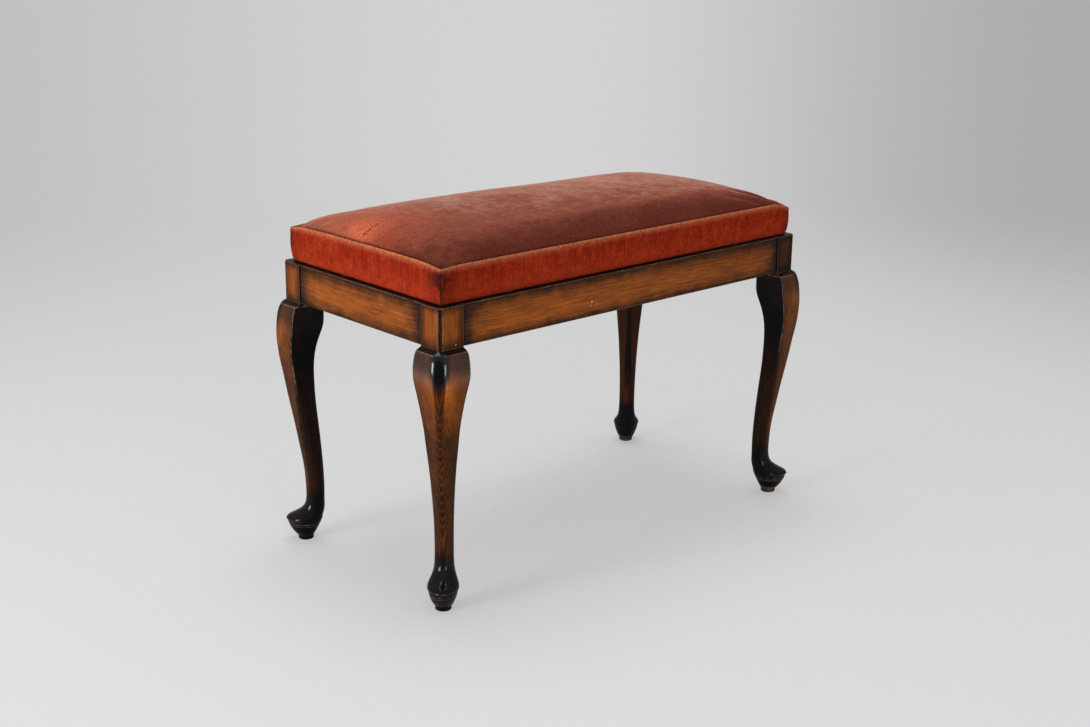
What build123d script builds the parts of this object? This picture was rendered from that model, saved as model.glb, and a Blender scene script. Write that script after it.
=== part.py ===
"""Piano bench: four cabriole legs, rails round a shallow music well, and a hinged, upholstered seat."""

import os
from math import cos, radians, sin

from build123d import *

# Frame, in millimetres: X runs along the bench, Y from front to back, Z up from the floor
FRAME_LENGTH = 720.0
FRAME_DEPTH = 362.0
FRAME_TOP = 434.0
POST_SIZE = 40.0
POST_CHAMFER = 5.0
RAIL_HEIGHT = 58.0
RAIL_THICKNESS = 20.0
RAIL_RECESS = 1.5
EDGE_EASE = 0.8
TENON_LENGTH = 22.0
TENON_THICKNESS = 8.0
TENON_HEIGHT = 42.0
TENON_INSET = 7.5
MORTISE_SPARE = 1.0

# Leg below the post: how far each face of the square leg lies inside the corner of the frame,
# the width of the outer corner and how round it is, and the radii of the other corners
NOSE_ARRIS_SHARE = 0.5
FLAT_NOSE_ARRIS_TURN = 42.0
ROUND_NOSE_ARRIS_TURN = 30.0
FLAT_NOSE = 0.0
ROUND_NOSE = 0.96
KNEE_TOP = 371.5
LEG_STATIONS = (
    # height, outer face, inner face, nose, nose roundness, side corners, inner corner
    (KNEE_TOP, -8.6, 40.4, 14.5, FLAT_NOSE, 1.5, 1.5),
    (362.0, -12.2, 41.0, 16.0, FLAT_NOSE, 1.5, 1.5),
    (348.0, -14.5, 40.9, 17.0, FLAT_NOSE, 1.5, 1.5),
    (336.0, -15.1, 39.8, 16.5, FLAT_NOSE, 1.5, 1.8),
    (322.0, -14.7, 36.4, 15.0, 0.1, 1.8, 2.2),
    (306.0, -13.2, 32.9, 13.0, 0.25, 2.2, 3.0),
    (288.0, -11.0, 30.7, 11.5, 0.5, 3.0, 4.0),
    (266.0, -7.4, 30.0, 10.0, 0.75, 4.0, 5.0),
    (243.0, -4.4, 30.5, 10.0, ROUND_NOSE, 5.5, 6.0),
    (220.0, -1.6, 31.7, 10.8, ROUND_NOSE, 8.5, 7.5),
    (188.0, 2.7, 34.1, 11.5, ROUND_NOSE, 12.0, 9.0),
    (150.0, 7.7, 37.0, 11.0, ROUND_NOSE, 14.0, 11.0),
    (112.0, 12.0, 38.7, 10.8, ROUND_NOSE, 12.8, 11.0),
    (80.0, 13.0, 39.4, 11.6, ROUND_NOSE, 12.8, 11.8),
    (62.0, 12.0, 39.4, 12.6, ROUND_NOSE, 13.2, 12.4),
)

# Foot: the ankle spreads into a toe with a crisp rim, and a turned bowl runs in under it to the pad
FOOT_TOP_STATIONS = (
    (53.0, 9.2, 39.6, 13.4, ROUND_NOSE, 15.2, 13.4),
    (46.0, 3.6, 39.2, 14.0, ROUND_NOSE, 18.5, 14.5),
    (40.0, -4.2, 38.4, 14.0, ROUND_NOSE, 23.5, 15.5),
    (35.5, -9.2, 37.8, 14.0, ROUND_NOSE, 27.2, 16.0),
    (32.5, -10.2, 37.5, 14.0, ROUND_NOSE, 28.0, 16.0),
)
FOOT_UNDER_STATIONS = (
    (31.0, -9.0, 36.9, 14.0, ROUND_NOSE, 27.2, 16.0),
    (19.0, -6.0, 33.0, 15.5, ROUND_NOSE, 22.5, 16.0),
    (6.5, 2.3, 26.9, 12.0, ROUND_NOSE, 12.0, 12.0),
)
PAD_CENTRE = 14.7
PAD_RADIUS = 11.6
PAD_HEIGHT = 6.5
PAD_EASE = 1.0

# Music well
CLEAT = 12.0
CLEAT_LIFT = 1.0
BOTTOM_THICKNESS = 4.0
BOTTOM_PLAY = 0.5
CLEAT_SCREW_LENGTH = 24.0
CLEAT_SCREWS_LONG_SIDE = (-240.0, 0.0, 240.0)
CLEAT_SCREWS_SHORT_SIDE = (-70.0, 70.0)
PANEL_PIN_LENGTH = 13.0
PANEL_PIN_RADIUS = 0.8
PANEL_PINS_LONG_SIDE = (-290.0, -170.0, -60.0, 60.0, 170.0, 290.0)
PANEL_PINS_SHORT_SIDE = (-105.0, 0.0, 105.0)

# Seat: a stuffed velvet cushion on a lid board that stands a little above the rails
LID_GAP = 2.2
SEAT_INSET = 10.0
VELVET = 1.5
BOARD_THICKNESS = 9.0
BOARD_CORNER = 2.0
BATTEN_WIDTH = 20.0
BATTEN_HEIGHT = 30.0
SEAT_SLACK = 0.3
BOXING_HEIGHT = 46.6
BOXING_SWELL = 2.8
BOXING_SWELL_SHARE = 0.6
BOXING_TOP_INSET = 8.6
PIPING_RADIUS = 2.2
PIPING_CORNER = 3.0
CROWN_RISE = 29.0
CROWN_EDGE = 2.6
CROWN_FULLNESS = 5.0
SHOULDER_WIDTH = 45.0
SHOULDER_SHARE = 0.62
CROWN_STEPS = (-1.0, -0.95, -0.84, -0.62, -0.3, 0.0, 0.3, 0.62, 0.84, 0.95, 1.0)
HEM_WIDTH = 19.0
HEM_THICKNESS = 1.0
TACK_INSET = 24.5
TACK_HEAD = 2.8
TACK_CROWN = 2.0
TACK_HEAD_THICKNESS = 0.7
TACK_SHANK = 0.9
TACK_LENGTH = 7.0
TACKS_LONG_SIDE = 14
TACKS_SHORT_SIDE = 7
BUTTON_RADIUS = 5.0
BUTTON_INSET = 15.0
BUTTON_SPREAD = 230.0
BUTTON_BACK = 45.0
BUTTON_PLAY = 0.1

# Stop hinges
HINGE_SPREAD = 235.0
HINGE_LENGTH = 45.0
LEAF_THICKNESS = 1.0
LEAF_WIDTH = 14.0
LEAF_PLAY = 0.2
KNUCKLE_RADIUS = 2.2
KNUCKLE_CLEARANCE = 0.4
LID_KNUCKLE = 15.4
KNUCKLE_GAP = 0.3
PIN_RADIUS = 1.1
PIN_PLAY = 0.05
PIN_INSET = 6.5
LID_STOP_ANGLE = 100.0
LUG_LENGTH = 5.6
LUG_WIDTH = 10.0
LUG_THICKNESS = 1.2
HINGE_SCREW_INSET = 14.5
HINGE_SCREW_SPREAD = 15.5
HINGE_SCREW_LENGTH = 15.0

# Countersunk screws
SCREW_HEAD = 2.7
SCREW_SHANK = 1.3
SCREW_HEAD_HEIGHT = 1.5
SCREW_POINT = 3.0
SCREW_SLOT = 0.8
SCREW_SLOT_DEPTH = 0.7

# Levels and lengths that follow
RAIL_BOTTOM = FRAME_TOP - RAIL_HEIGHT
RAIL_MIDDLE = FRAME_TOP - RAIL_HEIGHT / 2
RAIL_INNER = RAIL_RECESS + RAIL_THICKNESS
CLEAT_BOTTOM = RAIL_BOTTOM + CLEAT_LIFT
WELL_FLOOR = CLEAT_BOTTOM + CLEAT + BOTTOM_THICKNESS
LID_BOTTOM = FRAME_TOP + LID_GAP
BATTEN_BOTTOM = LID_BOTTOM + BOARD_THICKNESS
BATTEN_TOP = BATTEN_BOTTOM + BATTEN_HEIGHT
BOARD_INSET = SEAT_INSET + VELVET + SEAT_SLACK
BATTEN_INNER = BOARD_INSET + BATTEN_WIDTH
BOXING_TOP = LID_BOTTOM + BOXING_HEIGHT
PIPING_HEIGHT = BOXING_TOP + PIPING_RADIUS
PIPING_INSET = BOXING_TOP_INSET + VELVET
COVER_INSET = PIPING_INSET + PIPING_RADIUS + SEAT_SLACK
PIN_HEIGHT = FRAME_TOP + LEAF_THICKNESS + LEAF_PLAY / 2
PIN_Y = FRAME_DEPTH / 2 - PIN_INSET

# Each side's plane: X along the side, Y inward from the frame's outer face, Z up
SIDES = (
    ("front", FRAME_LENGTH, Plane((0, -FRAME_DEPTH / 2, 0), x_dir=(1, 0, 0), z_dir=(0, 0, 1))),
    ("right", FRAME_DEPTH, Plane((FRAME_LENGTH / 2, 0, 0), x_dir=(0, 1, 0), z_dir=(0, 0, 1))),
    ("back", FRAME_LENGTH, Plane((0, FRAME_DEPTH / 2, 0), x_dir=(-1, 0, 0), z_dir=(0, 0, 1))),
    ("left", FRAME_DEPTH, Plane((-FRAME_LENGTH / 2, 0, 0), x_dir=(0, -1, 0), z_dir=(0, 0, 1))),
)

# Each corner's plane: X and Y run inward along the two rails
CORNERS = (
    ("front_left", Plane((-FRAME_LENGTH / 2, -FRAME_DEPTH / 2, 0), x_dir=(1, 0, 0))),
    ("front_right", Plane((FRAME_LENGTH / 2, -FRAME_DEPTH / 2, 0), x_dir=(0, 1, 0))),
    ("back_right", Plane((FRAME_LENGTH / 2, FRAME_DEPTH / 2, 0), x_dir=(-1, 0, 0))),
    ("back_left", Plane((-FRAME_LENGTH / 2, FRAME_DEPTH / 2, 0), x_dir=(0, -1, 0))),
)


def save(piece, name):
    """Label a finished piece and write it."""
    piece.part.label = name
    export_step(piece.part, f"parts/{name}.step")


def across(side):
    """The plane of a side's cross-section: X inward, Y up."""
    return Plane(side.origin, x_dir=side.y_dir, z_dir=side.x_dir)


def mitre(side, length):
    """Cut both ends of a strip at the 45 degree lines that run in from the frame's corners."""
    for way in (-1, 1):
        corner = side.from_local_coords((way * length / 2, 0, 0))
        split(bisect_by=Plane(corner, z_dir=side.x_dir * way + side.y_dir), keep=Keep.BOTTOM)


def along(side, places, inset, height):
    """Locations along a side, turned to face inward."""
    return [side.location * Location((place, inset, height)) for place in places]


def leg_section(corner, station):
    """One level section of a leg: a square whose four corners have their own radii.

    The outer corner, the nose, is a slightly bowed flat between two rounded arrises, or one round.
    """
    height, outer, inner, nose, roundness, side, heel = station
    arris = nose * (NOSE_ARRIS_SHARE + (1 - NOSE_ARRIS_SHARE) * roundness)
    turn = FLAT_NOSE_ARRIS_TURN + (ROUND_NOSE_ARRIS_TURN - FLAT_NOSE_ARRIS_TURN) * roundness
    arris_in = arris * (1 - cos(radians(turn)))
    arris_along = nose - arris * sin(radians(turn))
    bow = (nose - arris_in - arris * sin(radians(turn))) / (cos(radians(turn)) - sin(radians(turn)))
    nose_depth = outer + (arris_in + arris_along) / 2 - bow * (1 - cos(radians(45 - turn))) * sin(radians(45))
    nose_start = (outer + arris_in, outer + arris_along)
    nose_end = (outer + arris_along, outer + arris_in)
    with BuildSketch(corner.offset(height)) as section:
        with BuildLine():
            Line((outer + nose, outer), (inner - side, outer))
            TangentArc((inner - side, outer), (inner, outer + side), tangent=(1, 0))
            Line((inner, outer + side), (inner, inner - heel))
            TangentArc((inner, inner - heel), (inner - heel, inner), tangent=(0, 1))
            Line((inner - heel, inner), (outer + side, inner))
            TangentArc((outer + side, inner), (outer, inner - side), tangent=(-1, 0))
            Line((outer, inner - side), (outer, outer + nose))
            TangentArc((outer, outer + nose), nose_start, tangent=(0, -1))
            ThreePointArc(nose_start, (nose_depth, nose_depth), nose_end)
            TangentArc(nose_end, (outer + nose, outer), tangent=(cos(radians(turn)), -sin(radians(turn))))
        make_face()
    return section.sketch


def crown_sections(inset, base, lift):
    """Sections of a stuffed crown, full in the middle and rounded down to all four edges."""
    half_depth = FRAME_DEPTH / 2 - inset
    half_length = FRAME_LENGTH / 2 - inset
    shoulder = half_depth - SHOULDER_WIDTH
    edge = BOXING_TOP + CROWN_EDGE + lift
    sections = []
    for step in CROWN_STEPS:
        rise = CROWN_EDGE + CROWN_RISE * (1 - abs(step) ** CROWN_FULLNESS)
        station = Plane((step * half_length, 0, 0), x_dir=(0, 1, 0), z_dir=(1, 0, 0))
        with BuildSketch(station) as section:
            with BuildLine():
                Line((-half_depth, base), (half_depth, base))
                Line((half_depth, base), (half_depth, edge))
                top = ThreePointArc(
                    (-shoulder, edge + SHOULDER_SHARE * rise),
                    (0, edge + rise),
                    (shoulder, edge + SHOULDER_SHARE * rise),
                )
                TangentArc(top @ 1, (half_depth, edge), tangent=top % 1)
                TangentArc(top @ 0, (-half_depth, edge), tangent=-(top % 0))
                Line((-half_depth, edge), (-half_depth, base))
            make_face()
        sections.append(section.sketch)
    return sections


def tack():
    """An upholstery tack, the underside of its head at the origin and its point up Z."""
    with BuildPart() as nail:
        with BuildSketch(Plane.XZ):
            with BuildLine():
                Polyline(
                    (0, -TACK_HEAD_THICKNESS),
                    (TACK_CROWN, -TACK_HEAD_THICKNESS),
                    (TACK_HEAD, 0),
                    (TACK_SHANK, 0),
                    (0, TACK_LENGTH),
                    close=True,
                )
            make_face()
        revolve(axis=Axis.Z)
    return nail.part


def spaced(count, length):
    """Places along a side, evenly spaced and clear of its ends."""
    step = length / count
    return [(number + 0.5) * step - length / 2 for number in range(count)]


def countersunk_screw(length, is_slotted):
    """A countersunk wood screw, or its hole, the head flush at the origin and the point down Z."""
    with BuildPart() as screw:
        with BuildSketch(Plane.XZ):
            with BuildLine():
                Polyline(
                    (0, 0),
                    (SCREW_HEAD, 0),
                    (SCREW_SHANK, -SCREW_HEAD_HEIGHT),
                    (SCREW_SHANK, SCREW_POINT - length),
                    (0, -length),
                    close=True,
                )
            make_face()
        revolve(axis=Axis.Z)
        if is_slotted:
            Box(2 * SCREW_HEAD, SCREW_SLOT, 2 * SCREW_SLOT_DEPTH, mode=Mode.SUBTRACT)
    return screw.part


def screw_group(length, places, rotation, name):
    """Slotted screws at several places, written as one node; gives back the holes that they need."""
    with BuildPart() as screws:
        with Locations(*places):
            add(countersunk_screw(length, True), rotation=rotation)
    save(screws, name)
    with BuildPart() as holes:
        with Locations(*places):
            add(countersunk_screw(length, False), rotation=rotation)
    return holes.part


os.makedirs("parts", exist_ok=True)

# Places of the fasteners along each side
LONG_SIDES = ("front", "back")
cleat_screw_places = []
panel_pin_places = {}
tack_places = {}
for name, length, side in SIDES:
    is_long = name in LONG_SIDES
    along_cleat = CLEAT_SCREWS_LONG_SIDE if is_long else CLEAT_SCREWS_SHORT_SIDE
    cleat_screw_places += along(side, along_cleat, RAIL_INNER + CLEAT, CLEAT_BOTTOM + CLEAT / 2)
    panel_pin_places[name] = PANEL_PINS_LONG_SIDE if is_long else PANEL_PINS_SHORT_SIDE
    tack_count = TACKS_LONG_SIDE if is_long else TACKS_SHORT_SIDE
    tack_places[name] = spaced(tack_count, length - 2 * TACK_INSET)
hinge_screw_runs = [
    way * HINGE_SPREAD + offset
    for way in (-1, 1)
    for offset in (-HINGE_SCREW_SPREAD, 0, HINGE_SCREW_SPREAD)
]
hinge_screw_y = FRAME_DEPTH / 2 - HINGE_SCREW_INSET
frame_screw_places = [(x, hinge_screw_y, FRAME_TOP + LEAF_THICKNESS) for x in hinge_screw_runs]
lid_screw_places = [(x, hinge_screw_y, LID_BOTTOM - LEAF_THICKNESS) for x in hinge_screw_runs]

# Fasteners, each kind a group of separate solids
cleat_screw_holes = screw_group(CLEAT_SCREW_LENGTH, cleat_screw_places, (-90, 0, 0), "cleat_screws")
frame_screw_holes = screw_group(HINGE_SCREW_LENGTH, frame_screw_places, (0, 0, 0), "hinge_screws_frame")
lid_screw_holes = screw_group(HINGE_SCREW_LENGTH, lid_screw_places, (180, 0, 0), "hinge_screws_lid")

with BuildPart() as panel_pins:
    for name, length, side in SIDES:
        with Locations(*along(side, panel_pin_places[name], RAIL_INNER + CLEAT / 2, WELL_FLOOR)):
            Cylinder(PANEL_PIN_RADIUS, PANEL_PIN_LENGTH, align=(Align.CENTER, Align.CENTER, Align.MAX))
save(panel_pins, "panel_pins")

cover_tack = tack()
with BuildPart() as cover_tacks:
    for name, length, side in SIDES:
        with Locations(*along(side, tack_places[name], TACK_INSET, LID_BOTTOM - HEM_THICKNESS)):
            add(cover_tack)
save(cover_tacks, "cover_tacks")

# Legs: post with its mortises, shouldered knee, swept leg, toe, turned underside and pad
POST_FOOT = (RAIL_BOTTOM, 0, POST_SIZE, POST_CHAMFER, FLAT_NOSE, EDGE_EASE, EDGE_EASE)
for name, corner in CORNERS:
    with BuildPart(corner) as leg:
        with BuildSketch(corner.offset(RAIL_BOTTOM)):
            with BuildLine():
                Polyline(
                    (POST_CHAMFER, 0),
                    (POST_SIZE, 0),
                    (POST_SIZE, POST_SIZE),
                    (0, POST_SIZE),
                    (0, POST_CHAMFER),
                    close=True,
                )
            make_face()
        extrude(amount=RAIL_HEIGHT)
        chamfer(edges().group_by(Axis.Z)[-1], EDGE_EASE)
        loft([leg_section(corner, station) for station in (POST_FOOT, LEG_STATIONS[0])], ruled=True)
        loft([leg_section(corner, station) for station in LEG_STATIONS + FOOT_TOP_STATIONS])
        rim = (FOOT_TOP_STATIONS[-1], FOOT_UNDER_STATIONS[0])
        loft([leg_section(corner, station) for station in rim], ruled=True)
        loft([leg_section(corner, station) for station in FOOT_UNDER_STATIONS])
        with BuildSketch(corner):
            with Locations((PAD_CENTRE, PAD_CENTRE)):
                Circle(PAD_RADIUS)
        extrude(amount=PAD_HEIGHT)
        chamfer(edges().group_by(Axis.Z)[0], PAD_EASE)
        mortise = TENON_LENGTH + MORTISE_SPARE
        with Locations((POST_SIZE, TENON_INSET, RAIL_MIDDLE)):
            Box(
                mortise, TENON_THICKNESS, TENON_HEIGHT,
                align=(Align.MAX, Align.MIN, Align.CENTER), mode=Mode.SUBTRACT,
            )
        with Locations((TENON_INSET, POST_SIZE, RAIL_MIDDLE)):
            Box(
                TENON_THICKNESS, mortise, TENON_HEIGHT,
                align=(Align.MIN, Align.MAX, Align.CENTER), mode=Mode.SUBTRACT,
            )
    save(leg, f"leg_{name}")

# Rails: outer edges eased, a stub tenon at each end, and room for the hinge knuckles at the back
for name, length, side in SIDES:
    between_posts = length - 2 * POST_SIZE
    with BuildPart() as rail:
        with BuildSketch(across(side)):
            with Locations((RAIL_RECESS + RAIL_THICKNESS / 2, RAIL_MIDDLE)):
                Rectangle(RAIL_THICKNESS, RAIL_HEIGHT)
            chamfer(vertices().group_by(Axis.X)[0], EDGE_EASE)
        extrude(amount=between_posts / 2, both=True)
        with Locations(*along(side, (0,), TENON_INSET, RAIL_MIDDLE)):
            Box(
                between_posts + 2 * TENON_LENGTH, TENON_THICKNESS, TENON_HEIGHT,
                align=(Align.CENTER, Align.MIN, Align.CENTER),
            )
        add(cleat_screw_holes, mode=Mode.SUBTRACT)
        if name == "back":
            with Locations((-HINGE_SPREAD, PIN_Y, PIN_HEIGHT), (HINGE_SPREAD, PIN_Y, PIN_HEIGHT)):
                Cylinder(
                    KNUCKLE_RADIUS + KNUCKLE_CLEARANCE, HINGE_LENGTH + 2 * KNUCKLE_RADIUS,
                    rotation=(0, 90, 0), mode=Mode.SUBTRACT,
                )
            add(frame_screw_holes, mode=Mode.SUBTRACT)
    save(rail, f"rail_{name}")

# Cleats inside the rails, and the well bottom that lies on them, notched round the posts
for name, length, side in SIDES:
    with BuildPart() as cleat:
        with Locations(*along(side, (0,), RAIL_INNER, CLEAT_BOTTOM)):
            Box(
                length - 2 * (POST_SIZE + BOTTOM_PLAY), CLEAT, CLEAT,
                align=(Align.CENTER, Align.MIN, Align.MIN),
            )
        add(cleat_screw_holes, mode=Mode.SUBTRACT)
        add(panel_pins.part, mode=Mode.SUBTRACT)
    save(cleat, f"cleat_{name}")

with BuildPart() as well_bottom:
    with BuildSketch(Plane.XY.offset(WELL_FLOOR - BOTTOM_THICKNESS)):
        inset = RAIL_INNER + BOTTOM_PLAY
        Rectangle(FRAME_LENGTH - 2 * inset, FRAME_DEPTH - 2 * inset)
        notch = 2 * (POST_SIZE + BOTTOM_PLAY)
        with GridLocations(FRAME_LENGTH, FRAME_DEPTH, 2, 2):
            Rectangle(notch, notch, mode=Mode.SUBTRACT)
    extrude(amount=BOTTOM_THICKNESS)
    add(panel_pins.part, mode=Mode.SUBTRACT)
save(well_bottom, "well_bottom")

# Lid board, and the battens on it that carry the upright sides of the seat
with BuildPart() as lid_board:
    with BuildSketch(Plane.XY.offset(LID_BOTTOM)):
        RectangleRounded(FRAME_LENGTH - 2 * BOARD_INSET, FRAME_DEPTH - 2 * BOARD_INSET, BOARD_CORNER)
    extrude(amount=BOARD_THICKNESS)
    add(cover_tacks.part, mode=Mode.SUBTRACT)
    add(lid_screw_holes, mode=Mode.SUBTRACT)
save(lid_board, "lid_board")

for name, length, side in SIDES:
    end_inset = BOARD_INSET + BOARD_CORNER if name in LONG_SIDES else BATTEN_INNER
    with BuildPart() as batten:
        with Locations(*along(side, (0,), BOARD_INSET, BATTEN_BOTTOM)):
            Box(
                length - 2 * end_inset, BATTEN_WIDTH, BATTEN_HEIGHT,
                align=(Align.CENTER, Align.MIN, Align.MIN),
            )
        add(lid_screw_holes, mode=Mode.SUBTRACT)
    save(batten, f"lid_batten_{name}")

# Stuffing: a block between the battens under the crown
with BuildPart() as seat_stuffing:
    loft(crown_sections(COVER_INSET + VELVET + SEAT_SLACK, BATTEN_TOP, -VELVET - SEAT_SLACK))
    with Locations((0, 0, BATTEN_BOTTOM)):
        Box(
            FRAME_LENGTH - 2 * BATTEN_INNER, FRAME_DEPTH - 2 * BATTEN_INNER, BATTEN_HEIGHT,
            align=(Align.CENTER, Align.CENTER, Align.MIN),
        )
save(seat_stuffing, "seat_stuffing")

# Velvet: crowned top panel, piping along its seam, boxing that swells out a little, and the turned hems
with BuildPart() as seat_top:
    loft(crown_sections(COVER_INSET, BOXING_TOP + SEAT_SLACK, 0))
    loft(crown_sections(COVER_INSET + VELVET, BATTEN_TOP, -VELVET), mode=Mode.SUBTRACT)
save(seat_top, "seat_top")

with BuildPart() as seat_piping:
    half_length = FRAME_LENGTH / 2 - PIPING_INSET
    half_depth = FRAME_DEPTH / 2 - PIPING_INSET
    with BuildLine(Plane.XY.offset(PIPING_HEIGHT)) as seam:
        FilletPolyline(
            (-half_length, -half_depth),
            (half_length, -half_depth),
            (half_length, half_depth),
            (-half_length, half_depth),
            radius=PIPING_CORNER,
            close=True,
        )
    with BuildSketch(Plane(seam.line @ 0, z_dir=seam.line % 0)):
        Circle(PIPING_RADIUS)
    sweep(path=seam.line)
save(seat_piping, "seat_piping")

for name, length, side in SIDES:
    with BuildPart() as boxing:
        with BuildSketch(across(side)):
            with BuildLine():
                swell_height = LID_BOTTOM + BOXING_HEIGHT * BOXING_SWELL_SHARE
                swell_inset = SEAT_INSET - BOXING_SWELL
                outer = ThreePointArc(
                    (SEAT_INSET, LID_BOTTOM), (swell_inset, swell_height), (BOXING_TOP_INSET, BOXING_TOP)
                )
                inner = ThreePointArc(
                    (SEAT_INSET + VELVET, LID_BOTTOM),
                    (swell_inset + VELVET, swell_height),
                    (BOXING_TOP_INSET + VELVET, BOXING_TOP),
                )
                Line(outer @ 0, inner @ 0)
                Line(outer @ 1, inner @ 1)
            make_face()
        extrude(amount=length / 2, both=True)
        mitre(side, length)
    save(boxing, f"boxing_{name}")

    with BuildPart() as hem:
        with BuildSketch(across(side)):
            with Locations((SEAT_INSET + HEM_WIDTH / 2, LID_BOTTOM - HEM_THICKNESS / 2)):
                Rectangle(HEM_WIDTH, HEM_THICKNESS)
        extrude(amount=length / 2, both=True)
        mitre(side, length)
        add(cover_tacks.part, mode=Mode.SUBTRACT)
        if name == "back":
            with Locations(*along(side, (-HINGE_SPREAD, HINGE_SPREAD), 0, LID_BOTTOM)):
                Box(
                    HINGE_LENGTH + 2 * KNUCKLE_CLEARANCE, PIN_INSET + LEAF_WIDTH + KNUCKLE_CLEARANCE,
                    2 * HEM_THICKNESS, align=(Align.CENTER, Align.MIN, Align.CENTER), mode=Mode.SUBTRACT,
                )
    save(hem, f"hem_{name}")

# Felt buttons that hold the lid just clear of the rails
front_button = (BUTTON_SPREAD, BUTTON_INSET - FRAME_DEPTH / 2)
end_button = (FRAME_LENGTH / 2 - BUTTON_INSET, BUTTON_BACK)
button_places = [(way * x, y) for x, y in (front_button, end_button) for way in (-1, 1)]
with BuildPart() as felt_buttons:
    with Locations(*[(x, y, FRAME_TOP + BUTTON_PLAY) for x, y in button_places]):
        Cylinder(
            BUTTON_RADIUS, LID_GAP - HEM_THICKNESS - BUTTON_PLAY,
            align=(Align.CENTER, Align.CENTER, Align.MIN),
        )
save(felt_buttons, "felt_buttons")

# Stop hinges: leaves flat on the rail and under the lid, a pin, and a lug that stops the open lid
frame_knuckle = (HINGE_LENGTH - LID_KNUCKLE) / 2 - KNUCKLE_GAP
frame_knuckle_offset = (HINGE_LENGTH - frame_knuckle) / 2
plate_edge = KNUCKLE_RADIUS + KNUCKLE_CLEARANCE
for name, way in (("left", -1), ("right", 1)):
    pin_place = Location((way * HINGE_SPREAD, PIN_Y, PIN_HEIGHT))
    with BuildPart() as frame_leaf:
        with Locations((way * HINGE_SPREAD, PIN_Y - plate_edge, FRAME_TOP)):
            Box(
                HINGE_LENGTH, LEAF_WIDTH - plate_edge, LEAF_THICKNESS,
                align=(Align.CENTER, Align.MAX, Align.MIN),
            )
        for offset in (-frame_knuckle_offset, frame_knuckle_offset):
            with Locations((way * HINGE_SPREAD + offset, PIN_Y, FRAME_TOP)):
                Box(
                    frame_knuckle, plate_edge, LEAF_THICKNESS,
                    align=(Align.CENTER, Align.MAX, Align.MIN),
                )
            with Locations((way * HINGE_SPREAD + offset, PIN_Y, PIN_HEIGHT)):
                Cylinder(KNUCKLE_RADIUS, frame_knuckle, rotation=(0, 90, 0))
        with Locations(pin_place):
            Cylinder(PIN_RADIUS, HINGE_LENGTH, rotation=(0, 90, 0), mode=Mode.SUBTRACT)
        add(frame_screw_holes, mode=Mode.SUBTRACT)
    save(frame_leaf, f"hinge_{name}_frame_leaf")

    with BuildPart() as lid_leaf:
        with Locations((way * HINGE_SPREAD, PIN_Y - plate_edge, LID_BOTTOM)):
            Box(
                HINGE_LENGTH, LEAF_WIDTH - plate_edge, LEAF_THICKNESS,
                align=(Align.CENTER, Align.MAX, Align.MAX),
            )
        with Locations((way * HINGE_SPREAD, PIN_Y, LID_BOTTOM)):
            Box(LID_KNUCKLE, plate_edge, LEAF_THICKNESS, align=(Align.CENTER, Align.MAX, Align.MAX))
        with Locations(pin_place):
            Cylinder(KNUCKLE_RADIUS, LID_KNUCKLE, rotation=(0, 90, 0))
        with Locations(pin_place * Location((0, 0, 0), (LID_STOP_ANGLE - 90, 0, 0))):
            Box(LUG_WIDTH, LUG_THICKNESS, LUG_LENGTH, align=(Align.CENTER, Align.CENTER, Align.MIN))
        with Locations(pin_place):
            Cylinder(PIN_RADIUS + PIN_PLAY, HINGE_LENGTH, rotation=(0, 90, 0), mode=Mode.SUBTRACT)
        add(lid_screw_holes, mode=Mode.SUBTRACT)
    save(lid_leaf, f"hinge_{name}_lid_leaf")

    with BuildPart() as pin:
        with Locations(pin_place):
            Cylinder(PIN_RADIUS, HINGE_LENGTH + 2 * PIN_RADIUS, rotation=(0, 90, 0))
    save(pin, f"hinge_{name}_pin")
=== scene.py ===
"""Piano bench: stained cabriole legs and rails, and a crowned velvet seat hinged over a music well."""

import math

import bpy
import numpy as np
from bpy.props import FloatProperty, FloatVectorProperty, IntProperty, PointerProperty
from mathutils import Matrix, Vector


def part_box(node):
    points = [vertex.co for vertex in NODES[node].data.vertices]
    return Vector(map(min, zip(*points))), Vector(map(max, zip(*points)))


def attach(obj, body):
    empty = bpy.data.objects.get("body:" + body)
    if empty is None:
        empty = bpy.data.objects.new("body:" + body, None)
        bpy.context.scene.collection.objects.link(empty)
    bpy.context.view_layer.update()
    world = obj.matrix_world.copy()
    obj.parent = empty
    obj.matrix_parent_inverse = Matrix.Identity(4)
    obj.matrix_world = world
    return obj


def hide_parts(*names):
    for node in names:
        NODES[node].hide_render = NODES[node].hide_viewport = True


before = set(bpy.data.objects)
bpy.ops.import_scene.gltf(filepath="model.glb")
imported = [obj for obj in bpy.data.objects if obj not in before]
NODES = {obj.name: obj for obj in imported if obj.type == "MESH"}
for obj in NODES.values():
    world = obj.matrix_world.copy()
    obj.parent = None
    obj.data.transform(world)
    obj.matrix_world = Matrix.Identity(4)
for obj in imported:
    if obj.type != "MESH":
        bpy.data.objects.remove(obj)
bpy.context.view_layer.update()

bl_info = {
    "name": "Piano Bench",
    "version": (1, 0, 0),
    "blender": (4, 5, 0),
    "location": "View3D > Sidebar > Bench",
    "description": "Finishes a piano bench: stained frame, velvet seat, music well, hinges and stage",
    "category": "Object",
}

MM = 0.001
SIDES = ("front", "right", "back", "left")
CORNERS = ("front_left", "front_right", "back_right", "back_left")

# Levels and half sizes of the wooden frame, read from the pieces; the rails lie back from the posts
FRAME_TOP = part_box("rail_front")[1].z
RAIL_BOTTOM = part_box("rail_front")[0].z
RAIL_RECESS = 1.5 * MM
HALF_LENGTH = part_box("rail_right")[1].x + RAIL_RECESS
HALF_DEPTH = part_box("rail_back")[1].y + RAIL_RECESS

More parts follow.
